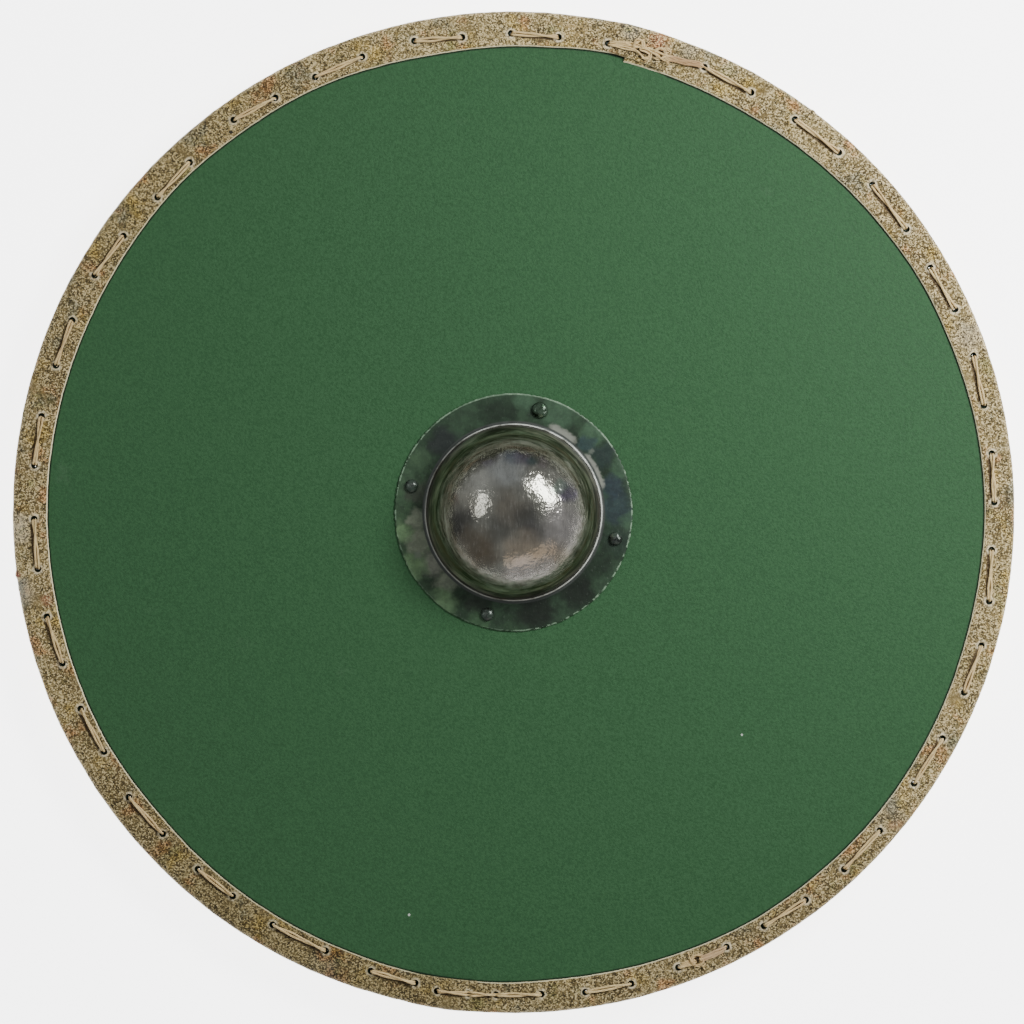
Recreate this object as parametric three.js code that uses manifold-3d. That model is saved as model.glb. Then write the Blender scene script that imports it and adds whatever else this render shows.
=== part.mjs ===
// Round wooden shield lying on its grip, boss up. Millimetres, +Z up through the boss.
// The origin is the centre of the grip's flat underside, and +Y is the top of the painted face.
// Angles are in degrees, counter-clockwise from +X as the painted face is seen.

import * as THREE from 'three';
import { mergeVertices } from 'three/addons/utils/BufferGeometryUtils.js';
import Module from 'manifold-3d';

const wasm = await Module();
wasm.setup();

// Fits
const seatGap = 0.3; // between faces that rest on each other
const shankClearance = 0.3; // around a rivet in its hole
const cordClearance = 0.4; // around the cord in its hole
const roveClearance = 1; // around a rove in its seat under the grip

// Board
const shieldDiameter = 800; // over the folded hide
const boardThickness = 9;
const boardEdgeEase = 2; // slope on both edges of the rim
const handHoleDiameter = 120;
const rimSides = 72;
const handHoleSides = 36;

// Folded hide
const hideThickness = 2;
const hideBand = 26.8; // mean width seen on the face
const hideBandShift = { x: 1.4, y: -1.9 }; // the strip's inner edge is cut slightly off centre
const leftHide = { top: 71.3, bottom: 265.6 };
const rightHide = { top: 76.3, bottom: 260.0 }; // its ends lie under the left strip
const lapMargin = 2; // how far the left strip stays raised past the end beneath it
const lapRamp = 6; // length of its slope down to the board

// Cord
const cordDiameter = 3.6;
const cordSides = 4;
const stitchInset = 16.4; // from the shield's outer edge to the line of holes
const stitchRingShift = { x: 2.7, y: -0.5 };
const stitchSpan = 5.9; // degrees from the hole a stitch comes up to the one it goes down
const rightRow = { first: 75.5, pitch: 11.85, count: 15 };
const leftRow = { first: -104.6, pitch: 12, count: 15 };
const lapStitch = [-95.4, -99.1];
const topTie = { angle: 74.4, lumps: [{ angle: 75.0, inset: 0 }, { angle: 74.1, inset: 6.5 }] };
const lowerTie = { angle: -67.7, lumps: [{ angle: -67.7, inset: 0 }] };
const tieLump = { across: 10, height: 5.6 };
const lumpSides = 8;
const lumpRings = 6;

// Boss
const bossFlangeDiameter = 190;
const bossDomeDiameter = 138;
const bossDomeHeight = 66; // above the top of the flange
const bossSheet = 1.6;
const bossRootRadius = 3; // hollow bend between dome and flange
const bossSides = 36;
const domeSteps = 7;
const rootSteps = 2;

// Rivets and the roves that they are clenched over
const rivetInset = 11; // from the flange's edge to the rivets' centres
const rivetPlaces = { top: 75.5, left: 165.5, bottom: 255.5, right: 345.5 };
const rivetShankDiameter = 5;
const rivetHeadDiameter = 11;
const rivetHeadHeight = 3.6;
const rivetHeadShoulder = { out: 0.8, up: 0.65 }; // shares of the head's radius and height
const clenchDiameter = 8;
const clenchHeight = 1.6;
const roveWidth = 14;
const roveThickness = 1.4;
const rivetSides = 8;

// Grip
const gripLength = 230;
const gripThickness = 18;
const gripHandleLength = 124; // the full thickness, over the hand hole
const gripHandleWidth = 30;
const gripEndWidth = 36;
const gripEndThickness = 8;
const gripSlope = 12; // length over which an end thins
const gripCurveSteps = 5;
const gripAngle = rivetPlaces.right;

// Levels
const boardBack = gripThickness + seatGap;
const boardFront = boardBack + boardThickness;
const shieldRadius = shieldDiameter / 2;
const hideInnerRadius = shieldRadius - hideThickness;
const boardRadius = hideInnerRadius - seatGap;
const hideFrontInside = boardFront + seatGap;
const hideBackInside = boardBack - seatGap;
const lapLift = hideThickness + seatGap;
const cordRadius = cordDiameter / 2;
const handHoleRadius = handHoleDiameter / 2;
const stitchRingRadius = shieldRadius - stitchInset;
const rivetCircleRadius = bossFlangeDiameter / 2 - rivetInset;

// Fineness
const fullTurn = 360;
const weldDistance = 0.001; // corners closer than this are one
const ringMergeAngle = 0.7; // a hide cross-section closer than this to another is left out

// A closed three.js geometry as a solid that can be joined and cut
function toSolid(geometry) {
  const bare = geometry.clone();
  bare.deleteAttribute('normal');
  bare.deleteAttribute('uv');
  const merged = mergeVertices(bare, weldDistance);
  const corners = [];
  for (let i = 0; i < merged.index.count; i += 3) {
    const [a, b, c] = merged.index.array.slice(i, i + 3);
    if (a !== b && b !== c && c !== a) corners.push(a, b, c);
  }
  return new wasm.Manifold(new wasm.Mesh({
    numProp: 3,
    vertProperties: new Float32Array(merged.attributes.position.array),
    triVerts: new Uint32Array(corners),
  }));
}

function toGeometry(solid) {
  const mesh = solid.getMesh();
  const geometry = new THREE.BufferGeometry();
  geometry.setAttribute('position', new THREE.BufferAttribute(mesh.vertProperties, 3));
  geometry.setIndex(new THREE.BufferAttribute(mesh.triVerts, 1));
  geometry.computeVertexNormals();
  return geometry;
}

function cut(geometry, tools) {
  let solid = toSolid(geometry);
  for (const tool of tools) solid = solid.subtract(toSolid(tool));
  return toGeometry(solid);
}

// Plan geometry
const radians = THREE.MathUtils.degToRad;

function polar(radius, angle) {
  return new THREE.Vector2(Math.cos(radians(angle)), Math.sin(radians(angle))).multiplyScalar(radius);
}

function polygon(radius, sides) {
  return Array.from({ length: sides }, (_, i) => polar(radius, (fullTurn * i) / sides));
}

// The distance from the axis, at an angle, of a circle whose centre is shifted a little
function shiftedRadius(radius, shift, angle) {
  const direction = polar(1, angle);
  return radius + shift.x * direction.x + shift.y * direction.y;
}

function arcDegrees(length) {
  return THREE.MathUtils.radToDeg(length / shieldRadius);
}

// A straight drill along Z between two levels, with a corner pointing away from the axis
function drill(radius, angle, size, sides, from, to) {
  const tool = new THREE.CylinderGeometry(size, size, to - from, sides);
  tool.rotateX(Math.PI / 2).rotateZ(radians(angle));
  const spot = polar(radius, angle);
  return tool.translate(spot.x, spot.y, (from + to) / 2);
}

// Stitching. Each run is a stretch of cord on the front, between the hole it comes up and the one
// it goes down, with any holes that it passes over in between.
function stitches(row) {
  return Array.from({ length: row.count }, (_, k) => {
    const middle = row.first - k * row.pitch;
    return [middle + stitchSpan / 2, middle - stitchSpan / 2];
  });
}

const rightStitches = stitches(rightRow);
const topRun = rightStitches.slice(0, 2).flat();
const bottomRun = [...rightStitches.at(-1), ...lapStitch];
const frontRuns = [topRun, ...rightStitches.slice(2, -1), bottomRun, ...stitches(leftRow)];

// The line of holes is round, and sits slightly off the board's centre
function stitchRadius(angle) {
  return shiftedRadius(stitchRingRadius, stitchRingShift, angle);
}

// The awl leaves a four-sided hole, which the cord fills
function stitchDrills() {
  const size = cordRadius + cordClearance;
  return frontRuns.flat().map((angle) =>
    drill(stitchRadius(angle), angle, size, cordSides, 0, boardFront + boardBack));
}

// How far the left strip stands off the board at an angle, where it passes over the right strip's ends
function lapLiftAt(angle) {
  const turn = THREE.MathUtils.euclideanModulo(angle, fullTurn);
  if (turn < leftHide.top || turn > leftHide.bottom) return 0;
  const overTop = rightHide.top + arcDegrees(lapMargin) - turn;
  const overBottom = turn - rightHide.bottom + arcDegrees(lapMargin);
  const share = 1 + Math.max(overTop, overBottom) / arcDegrees(lapRamp);
  return lapLift * THREE.MathUtils.clamp(share, 0, 1);
}

// Board
function boardGeometry() {
  const outline = new THREE.Shape(polygon(boardRadius, rimSides));
  outline.holes.push(new THREE.Path(polygon(handHoleRadius, handHoleSides)));
  const blank = new THREE.ExtrudeGeometry(outline, {
    depth: boardThickness - 2 * boardEdgeEase,
    bevelThickness: boardEdgeEase,
    bevelSize: boardEdgeEase,
    bevelOffset: -boardEdgeEase,
    bevelSegments: 1,
  });
  blank.translate(0, 0, boardBack + boardEdgeEase);
  return cut(blank, [...stitchDrills(), ...rivetDrills()]);
}

// Hide. The section is a U round the board's edge: X is the radius and Y the height.
function hideSection() {
  const mouth = shieldRadius - hideBand;
  const ease = hideInnerRadius - boardEdgeEase;
  const front = hideFrontInside - boardEdgeEase;
  const back = hideBackInside + boardEdgeEase;
  const bend = boardEdgeEase + hideThickness;
  const section = new THREE.Shape();
  section.moveTo(mouth, hideFrontInside);
  section.lineTo(ease, hideFrontInside);
  section.lineTo(hideInnerRadius, front);
  section.lineTo(hideInnerRadius, back);
  section.lineTo(ease, hideBackInside);
  section.lineTo(mouth, hideBackInside);
  section.lineTo(mouth, hideBackInside - hideThickness);
  section.absarc(ease, back, bend, -Math.PI / 2, 0, false);
  section.absarc(ease, front, bend, 0, Math.PI / 2, false);
  section.lineTo(mouth, hideFrontInside + hideThickness);
  section.closePath();
  return section;
}

// The angles of a strip's cross-sections, in falling order, with the extra ones that its laps need
function stripAngles(from, to, extra) {
  const step = fullTurn / rimSides;
  const angles = [from, to, ...extra];
  for (let k = Math.ceil(from / step); k * step < to; k += 1) {
    const clear = angles.every((angle) => Math.abs(angle - k * step) > ringMergeAngle);
    if (clear) angles.push(k * step);
  }
  return angles.sort((a, b) => b - a);
}

// A straight strip with one cross-section a millimetre, bent so that each one lands on its angle
function hideGeometry(angles, liftAt) {
  const steps = angles.length - 1;
  const strip = new THREE.ExtrudeGeometry(hideSection(), {
    depth: steps,
    steps,
    curveSegments: 1,
    bevelEnabled: false,
  });
  const mouth = shieldRadius - hideBand;
  const middle = (boardFront + boardBack) / 2;
  const corners = strip.attributes.position;
  for (let i = 0; i < corners.count; i += 1) {
    const angle = angles[Math.round(corners.getZ(i))];
    const lift = liftAt(angle);
    const across = corners.getX(i);
    const height = corners.getY(i);
    const atMouth = across < mouth + weldDistance;
    const radius = atMouth ? shiftedRadius(mouth, hideBandShift, angle) : across + lift;
    const spot = polar(radius, angle);
    corners.setXYZ(i, spot.x, spot.y, height + Math.sign(height - middle) * lift);
  }
  return cut(strip, stitchDrills());
}

function leftHideGeometry() {
  const topLap = rightHide.top + arcDegrees(lapMargin);
  const bottomLap = rightHide.bottom - arcDegrees(lapMargin);
  const bends = [topLap, topLap + arcDegrees(lapRamp), bottomLap, bottomLap - arcDegrees(lapRamp)];
  return hideGeometry(stripAngles(leftHide.top, leftHide.bottom, bends), lapLiftAt);
}

function rightHideGeometry() {
  return hideGeometry(stripAngles(rightHide.bottom, rightHide.top + fullTurn, []), () => 0);
}

// Cord
class Route extends THREE.Curve {
  // An open line through chosen points, which lie at even steps of its parameter
  constructor(points) {
    super();
    this.points = points;
  }

  getPoint(t, target = new THREE.Vector3()) {
    const along = t * (this.points.length - 1);
    const index = Math.min(Math.floor(along), this.points.length - 2);
    return target.lerpVectors(this.points[index], this.points[index + 1], along - index);
  }

  getPointAt(u, target) {
    return this.getPoint(u, target);
  }

  // The section keeps one corner pointing away from the shield's axis, so that it fits its holes
  computeFrenetFrames() {
    const tangents = this.points.map((here, i) => {
      const before = this.points[Math.max(i - 1, 0)];
      const after = this.points[Math.min(i + 1, this.points.length - 1)];
      const arriving = new THREE.Vector3().subVectors(here, before).normalize();
      const leaving = new THREE.Vector3().subVectors(after, here).normalize();
      return arriving.add(leaving).normalize();
    });
    const binormals = this.points.map((here, i) => {
      const outward = new THREE.Vector3(here.x, here.y, 0);
      return outward.addScaledVector(tangents[i], -outward.dot(tangents[i])).normalize();
    });
    const normals = tangents.map((tangent, i) =>
      new THREE.Vector3().crossVectors(binormals[i], tangent));
    return { tangents, normals, binormals };
  }
}

// The level of the hide's outer face at an angle, side 1 on the front and -1 on the back
function hideFace(angle, side) {
  const face = side > 0 ? hideFrontInside : hideBackInside;
  return face + side * (hideThickness + lapLiftAt(angle));
}

function onHide(angle, side, height) {
  const spot = polar(stitchRadius(angle), angle);
  return new THREE.Vector3(spot.x, spot.y, hideFace(angle, side) + side * (seatGap + height));
}

// Where a span has to be held up: its middle, and each edge of a lap that it crosses
function spanSupports(from, to) {
  const below = (angle) => from - THREE.MathUtils.euclideanModulo(from - angle, fullTurn);
  const crests = [
    leftHide.top,
    leftHide.bottom,
    rightHide.top + arcDegrees(lapMargin),
    rightHide.bottom - arcDegrees(lapMargin),
  ];
  const bend = arcDegrees(2 * cordDiameter);
  const inside = crests.map(below).filter((angle) => angle < from - bend && angle > to + bend);
  return [(from + to) / 2, ...inside].sort((a, b) => b - a);
}

// A length of cord from one angle down to another, through each hole where it changes sides
function cordGeometry(from, to, tie) {
  const crossings = frontRuns.flatMap((run) => [run[0], run.at(-1)]);
  const holes = [...crossings, crossings[0] - fullTurn].filter((angle) => angle < from && angle > to);
  const points = [onHide(from, 1, cordRadius)];
  let last = from;
  let side = 1;
  for (const hole of holes) {
    points.push(...spanSupports(last, hole).map((angle) => onHide(angle, side, cordRadius)));
    points.push(onHide(hole, side, cordRadius), onHide(hole, -side, cordRadius));
    last = hole;
    side = -side;
  }
  points.push(...spanSupports(last, to).map((angle) => onHide(angle, 1, cordRadius)));
  points.push(onHide(to, 1, cordRadius));
  const tube = new THREE.ExtrudeGeometry(new THREE.Shape(polygon(cordRadius, cordSides)), {
    steps: points.length - 1,
    extrudePath: new Route(points),
  });
  let solid = toSolid(tube);
  for (const lump of tie.lumps) solid = solid.add(toSolid(lumpGeometry(lump)));
  return toGeometry(solid);
}

function lumpGeometry(lump) {
  const spot = polar(stitchRadius(lump.angle) - lump.inset, lump.angle);
  const ball = new THREE.SphereGeometry(tieLump.across / 2, lumpSides, lumpRings);
  ball.rotateX(Math.PI / 2);
  ball.scale(1, 1, tieLump.height / tieLump.across);
  return ball.translate(spot.x, spot.y, hideFace(lump.angle, 1) + seatGap + tieLump.height / 2);
}

// Boss. The profile runs over the outside from the crown to the flange's edge and back inside.
function bossProfile(offset) {
  const domeRadius = bossDomeDiameter / 2 - offset;
  const root = bossRootRadius + offset;
  const top = bossSheet - offset;
  const points = [];
  for (let i = 0; i <= domeSteps; i += 1) {
    const turn = (Math.PI / 2) * (i / domeSteps);
    const height = top + root + (bossDomeHeight - bossRootRadius - offset) * Math.cos(turn);
    points.push(new THREE.Vector2(domeRadius * Math.sin(turn), height));
  }
  for (let i = 1; i <= rootSteps; i += 1) {
    const turn = (Math.PI / 2) * (i / rootSteps);
    const out = domeRadius + root * (1 - Math.cos(turn));
    points.push(new THREE.Vector2(out, top + root * (1 - Math.sin(turn))));
  }
  points.push(new THREE.Vector2(bossFlangeDiameter / 2, top));
  return points;
}

function bossGeometry() {
  const profile = [...bossProfile(0), ...bossProfile(bossSheet).reverse()];
  profile[0].x = 0;
  profile.at(-1).x = 0;
  const shell = new THREE.LatheGeometry(profile.reverse(), bossSides);
  shell.rotateX(Math.PI / 2);
  shell.translate(0, 0, boardFront + seatGap);
  return cut(shell, rivetDrills());
}

// Rivets
const rivetSeat = boardFront + seatGap + bossSheet + seatGap;

function rivetDrills() {
  const radius = rivetShankDiameter / 2 + shankClearance;
  return Object.values(rivetPlaces).map((angle) =>
    drill(rivetCircleRadius, angle, radius, rivetSides, 0, rivetSeat + rivetHeadHeight));
}

// A rivet stands on its own head's underside, with its shank pointing down by the given length
function rivetGeometry(shankLength) {
  const shank = rivetShankDiameter / 2;
  const head = rivetHeadDiameter / 2;
  const profile = [
    new THREE.Vector2(0, -shankLength - clenchHeight),
    new THREE.Vector2(clenchDiameter / 2, -shankLength - clenchHeight / 2),
    new THREE.Vector2(clenchDiameter / 2, -shankLength),
    new THREE.Vector2(shank, -shankLength),
    new THREE.Vector2(shank, 0),
    new THREE.Vector2(head, 0),
    new THREE.Vector2(head * rivetHeadShoulder.out, rivetHeadHeight * rivetHeadShoulder.up),
    new THREE.Vector2(0, rivetHeadHeight),
  ];
  return new THREE.LatheGeometry(profile, rivetSides).rotateX(Math.PI / 2);
}

function roveGeometry() {
  const half = roveWidth / 2;
  const plate = new THREE.Shape([
    new THREE.Vector2(-half, -half),
    new THREE.Vector2(half, -half),
    new THREE.Vector2(half, half),
    new THREE.Vector2(-half, half),
  ]);
  plate.holes.push(new THREE.Path(polygon(rivetShankDiameter / 2 + shankClearance, rivetSides)));
  return new THREE.ExtrudeGeometry(plate, { depth: roveThickness, bevelEnabled: false });
}

// Grip. A side profile and a plan outline meet in the shaped bar, which lies along X before it is
// turned. A square seat clears each rove wherever the thin end doesn't.
function gripGeometry() {
  const half = gripLength / 2;
  const handle = gripHandleLength / 2;
  const waist = gripHandleWidth / 2;
  const end = gripEndWidth / 2;
  const endLevel = gripThickness - gripEndThickness;
  const side = new THREE.Shape([
    new THREE.Vector2(-handle, 0),
    new THREE.Vector2(handle, 0),
    new THREE.Vector2(handle + gripSlope, endLevel),
    new THREE.Vector2(half, endLevel),
    new THREE.Vector2(half, gripThickness),
    new THREE.Vector2(-half, gripThickness),
    new THREE.Vector2(-half, endLevel),
    new THREE.Vector2(-handle - gripSlope, endLevel),
  ]);
  const slab = new THREE.ExtrudeGeometry(side, { depth: gripEndWidth, bevelEnabled: false });
  slab.translate(0, 0, -end).rotateX(Math.PI / 2);
  const plan = new THREE.Shape();
  plan.moveTo(-half, -end);
  plan.bezierCurveTo(-handle / 2, -end, -handle, -waist, 0, -waist);
  plan.bezierCurveTo(handle, -waist, handle / 2, -end, half, -end);
  plan.lineTo(half, end);
  plan.bezierCurveTo(handle / 2, end, handle, waist, 0, waist);
  plan.bezierCurveTo(-handle, waist, -handle / 2, end, -half, end);
  plan.closePath();
  const blank = new THREE.ExtrudeGeometry(plan, {
    depth: gripThickness * 2,
    curveSegments: gripCurveSteps,
    bevelEnabled: false,
  });
  blank.translate(0, 0, -gripThickness / 2);
  let bar = toSolid(slab).intersect(toSolid(blank));
  const boreRadius = rivetShankDiameter / 2 + shankClearance;
  const seatWidth = roveWidth + 2 * roveClearance;
  for (const angle of [rivetPlaces.left, rivetPlaces.right]) {
    const turn = angle - gripAngle;
    const spot = polar(rivetCircleRadius, turn);
    const bore = drill(rivetCircleRadius, turn, boreRadius, rivetSides, 0, boardBack);
    const seat = new THREE.BoxGeometry(seatWidth, seatWidth, 2 * endLevel);
    seat.translate(spot.x, spot.y, 0);
    bar = bar.subtract(toSolid(bore)).subtract(toSolid(seat));
  }
  return toGeometry(bar);
}

// Finishes
const finish = {
  greenPaint: new THREE.MeshStandardMaterial({ color: 0x3f6b43, roughness: 0.55, metalness: 0 }),
  hide: new THREE.MeshStandardMaterial({ color: 0x948a6c, roughness: 0.75, metalness: 0 }),
  cord: new THREE.MeshStandardMaterial({ color: 0xa58f6a, roughness: 0.9, metalness: 0 }),
  steel: new THREE.MeshStandardMaterial({ color: 0x6a675f, roughness: 0.35, metalness: 1 }),
  ironRivet: new THREE.MeshStandardMaterial({ color: 0x3d4440, roughness: 0.45, metalness: 1 }),
  gripWood: new THREE.MeshStandardMaterial({ color: 0x8a6238, roughness: 0.65, metalness: 0 }),
};

// Assembly
const shield = new THREE.Group();
shield.name = 'round_shield';

function place(name, geometry, material, parent = shield) {
  const mesh = new THREE.Mesh(geometry, material);
  mesh.name = name;
  parent.add(mesh);
  return mesh;
}

place('board', boardGeometry(), finish.greenPaint);
place('rim_hide_left', leftHideGeometry(), finish.hide);
place('rim_hide_right', rightHideGeometry(), finish.hide);

// Each cord ends inside one tie's lumps and starts clear of the other's
const tieReach = arcDegrees(tieLump.across / 2 + 2 * seatGap);
const topStart = topTie.angle - tieReach;
const lowerStart = lowerTie.angle - tieReach;
place('cord_right', cordGeometry(topStart, lowerTie.angle, lowerTie), finish.cord);
place('cord_left', cordGeometry(lowerStart, topTie.lumps[0].angle - fullTurn, topTie), finish.cord);

place('boss', bossGeometry(), finish.steel);

for (const [name, angle] of Object.entries(rivetPlaces)) {
  const throughGrip = name === 'left' || name === 'right';
  const roveTop = boardBack - (throughGrip ? seatGap + gripEndThickness : 0) - seatGap;
  const roveUnderside = roveTop - roveThickness;
  const station = new THREE.Group();
  const spot = polar(rivetCircleRadius, angle);
  station.position.set(spot.x, spot.y, 0);
  station.rotation.z = radians(angle);
  shield.add(station);
  const shank = rivetGeometry(rivetSeat - roveUnderside + seatGap);
  const rivet = place(`boss_rivet_${name}`, shank, finish.ironRivet, station);
  rivet.position.z = rivetSeat;
  const rove = place(`rove_${name}`, roveGeometry(), finish.ironRivet, station);
  rove.position.z = roveUnderside;
}

const grip = place('grip', gripGeometry(), finish.gripWood);
grip.rotation.z = radians(gripAngle);

export default shield;
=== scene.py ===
# %% [markdown]
# # A round wooden shield
#
# The shield lies on its grip with the boss up. This lesson dresses its CAD frame: a painted board, a rim of
# folded rawhide sewn on with hemp cord, a steel boss held by four rivets, and a wooden grip across the
# hand hole at the back. Each piece is shaped again, finer, at the same place and size.

# %% Load the frame
import math

import bmesh
import bpy
import numpy as np
from mathutils import Matrix, Vector, noise


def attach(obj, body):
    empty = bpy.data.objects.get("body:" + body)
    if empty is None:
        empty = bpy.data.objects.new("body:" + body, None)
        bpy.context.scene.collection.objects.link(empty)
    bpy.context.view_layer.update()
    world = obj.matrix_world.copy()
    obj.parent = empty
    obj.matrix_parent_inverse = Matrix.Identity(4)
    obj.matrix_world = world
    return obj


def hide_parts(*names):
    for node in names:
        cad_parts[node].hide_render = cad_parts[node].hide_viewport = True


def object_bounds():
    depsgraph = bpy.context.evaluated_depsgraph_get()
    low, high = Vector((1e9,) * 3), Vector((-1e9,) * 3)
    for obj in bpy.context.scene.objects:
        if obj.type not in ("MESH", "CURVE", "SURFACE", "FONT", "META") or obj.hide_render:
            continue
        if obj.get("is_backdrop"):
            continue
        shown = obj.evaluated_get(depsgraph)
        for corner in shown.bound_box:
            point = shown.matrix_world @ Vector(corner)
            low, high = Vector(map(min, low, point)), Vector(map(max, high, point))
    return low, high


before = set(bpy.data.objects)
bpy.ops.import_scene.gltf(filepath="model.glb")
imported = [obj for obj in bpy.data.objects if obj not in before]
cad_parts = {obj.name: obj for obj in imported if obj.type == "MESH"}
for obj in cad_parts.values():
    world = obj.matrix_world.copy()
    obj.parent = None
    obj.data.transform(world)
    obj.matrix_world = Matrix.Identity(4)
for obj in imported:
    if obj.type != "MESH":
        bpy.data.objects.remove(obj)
cad_low, cad_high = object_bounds()
print("CAD nodes:", ", ".join(sorted(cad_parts)))
print("CAD box in metres:", [round(v, 4) for v in cad_low], [round(v, 4) for v in cad_high])

# %% [markdown]
# ## Working in millimetres
#
# The shapes below are made in millimetres and shrunk to metres once, when a piece is finished. Finishing
# also shades the piece smoothly except across sharp edges, and hides the CAD node it replaces.


# %% Finish a piece
def new_object(name, data):
    """An object in the scene, at the origin."""
    made = bpy.data.objects.new(name, data)
    bpy.context.scene.collection.objects.link(made)
    return made


def mesh_of(name, bm):
    """A mesh made of a bmesh, which is then freed."""
    mesh = bpy.data.meshes.new(name)
    bm.to_mesh(mesh)
    bm.free()
    return mesh


def as_seen(maker):
    """The mesh of an object with its modifiers or its curve worked out."""
    return bpy.data.meshes.new_from_object(maker.evaluated_get(bpy.context.evaluated_depsgraph_get()))


def finish_piece(name, bm, materials, node, sharp=35):
    """Makes a finished object, in metres, of a bmesh in millimetres."""
    bm.transform(Matrix.Scale(0.001, 4))
    return finish_mesh(name, mesh_of(name, bm), materials, node, sharp)


def finish_mesh(name, mesh, materials, node, sharp):
    """Makes a finished object of a mesh that is already in metres."""
    piece = new_object(name, mesh)
    mesh.materials.clear()
    for material in materials:
        mesh.materials.append(material)
    mesh.shade_smooth()
    mesh.set_sharp_from_angle(angle=math.radians(sharp))
    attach(piece, "root")
    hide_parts(node)
    triangles = sum(len(face.vertices) - 2 for face in mesh.polygons)
    print(f"{name}: {triangles} triangles")
    return piece


# %% [markdown]
# ## Turned shapes
#
# Board, boss, rivets and the folded rim are all turned: one section carried round an axis. Spin slows down
# as a mesh grows, so it makes one sector first, then copies of it, welded together. Part of a turn leaves
# two open ends, which get a face each. The section's points may carry numbers in vertex layers, which
# every copy keeps, so that a later step knows which part of the section it is on.


# %% Spin a section
def turned(section, sectors, steps, start=0.0, sweep=360.0, closed=True, layers=None):
    """A bmesh of a section of (radius, height) points spun round Z, in sectors of so many steps."""
    bm = bmesh.new()
    kept = {key: bm.verts.layers.float.new(key) for key in (layers or {})}
    a = math.radians(start)
    points = [bm.verts.new((r * math.cos(a), r * math.sin(a), z)) for r, z in section]
    for key, layer in kept.items():
        for point, value in zip(points, layers[key]):
            point[layer] = value
    edges = [bm.edges.new(pair) for pair in zip(points, points[1:])]
    if closed:
        edges.append(bm.edges.new((points[-1], points[0])))
    sector = math.radians(sweep) / sectors
    turn = {"axis": (0, 0, 1), "cent": (0, 0, 0)}
    bmesh.ops.spin(bm, geom=points + edges, angle=sector, steps=steps, **turn)
    if sectors > 1:
        rest = {"angle": sector * (sectors - 1), "steps": sectors - 1, "use_duplicate": True}
        bmesh.ops.spin(bm, geom=bm.verts[:] + bm.edges[:] + bm.faces[:], **rest, **turn)
    bmesh.ops.remove_doubles(bm, verts=bm.verts, dist=0.0005)
    if sweep < 360:
        ends = [edge for edge in bm.edges if edge.is_boundary]
        bmesh.ops.holes_fill(bm, edges=ends, sides=0)
    bmesh.ops.recalc_face_normals(bm, faces=bm.faces)
    return bm


def corners(bm):
    """The vertices of a bmesh as an array."""
    return np.array([v.co[:] for v in bm.verts])


def move_corners(bm, places):
    """Puts each vertex of a bmesh at its row of an array."""
    for v, place in zip(bm.verts, places):
        v.co = place


def lumps(places, size, seed, octaves=3):
    """Soft noise of about -1 to 1 at each place, with swellings about size across."""
    shift = Vector((17.3 * seed, 5.1 * seed, 9.7 * seed))
    return np.array(
        [noise.fractal(Vector(p) / size + shift, 1.0, 2.0, octaves) for p in places]
    )


# %% [markdown]
# ## Levels and radii
#
# The CAD model stacks its layers with gaps of 0.3 mm. These are its levels above the floor and its radii,
# in millimetres, which every piece below is fitted to.

# %% Sizes taken from the CAD model
board_back, board_front = 18.3, 27.3
board_radius, hand_hole_radius = 397.7, 60.0
hide_inside_front, hide_inside_back = 27.6, 18.0
hide_thickness = 2.0
hide_face = hide_inside_front + hide_thickness
hide_middle = (hide_inside_front + hide_inside_back) / 2
hide_radius = 400.0
hide_mouth = 373.2
boss_seat = 27.6
boss_sheet = 1.6
flange_radius, dome_radius, dome_height = 95.0, 69.0, 66.0
rivet_circle = 84.0
rivet_angles = {"top": 75.5, "left": 165.5, "bottom": 255.5, "right": 345.5}
rivet_seat = 29.5
rivet_bore = 2.8
rove_side, rove_thickness, grip_end_level = 14.0, 1.4, 10.0
cord_radius = 1.8
awl_radius, bore_radius = 2.5, 1.2
left_hide = (71.3, 265.6)
right_hide = (-100.0, 76.3)
lap_lift, lap_ramp, skived_length = 1.8, 22.0, 14.0
pucker_height, channel_depth = 0.75, 0.3
print("stack of levels in mm:", board_back, board_front, boss_seat, rivet_seat)

# %% [markdown]
# ## The stitches
#
# The rim is sewn by hand, so no two stitches are alike. Each run below is one stretch of cord on the face:
# the angle and radius of the holes it comes up through, passes over and goes down through, clockwise from
# the top tie. Between two runs the cord is behind the board.

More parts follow.
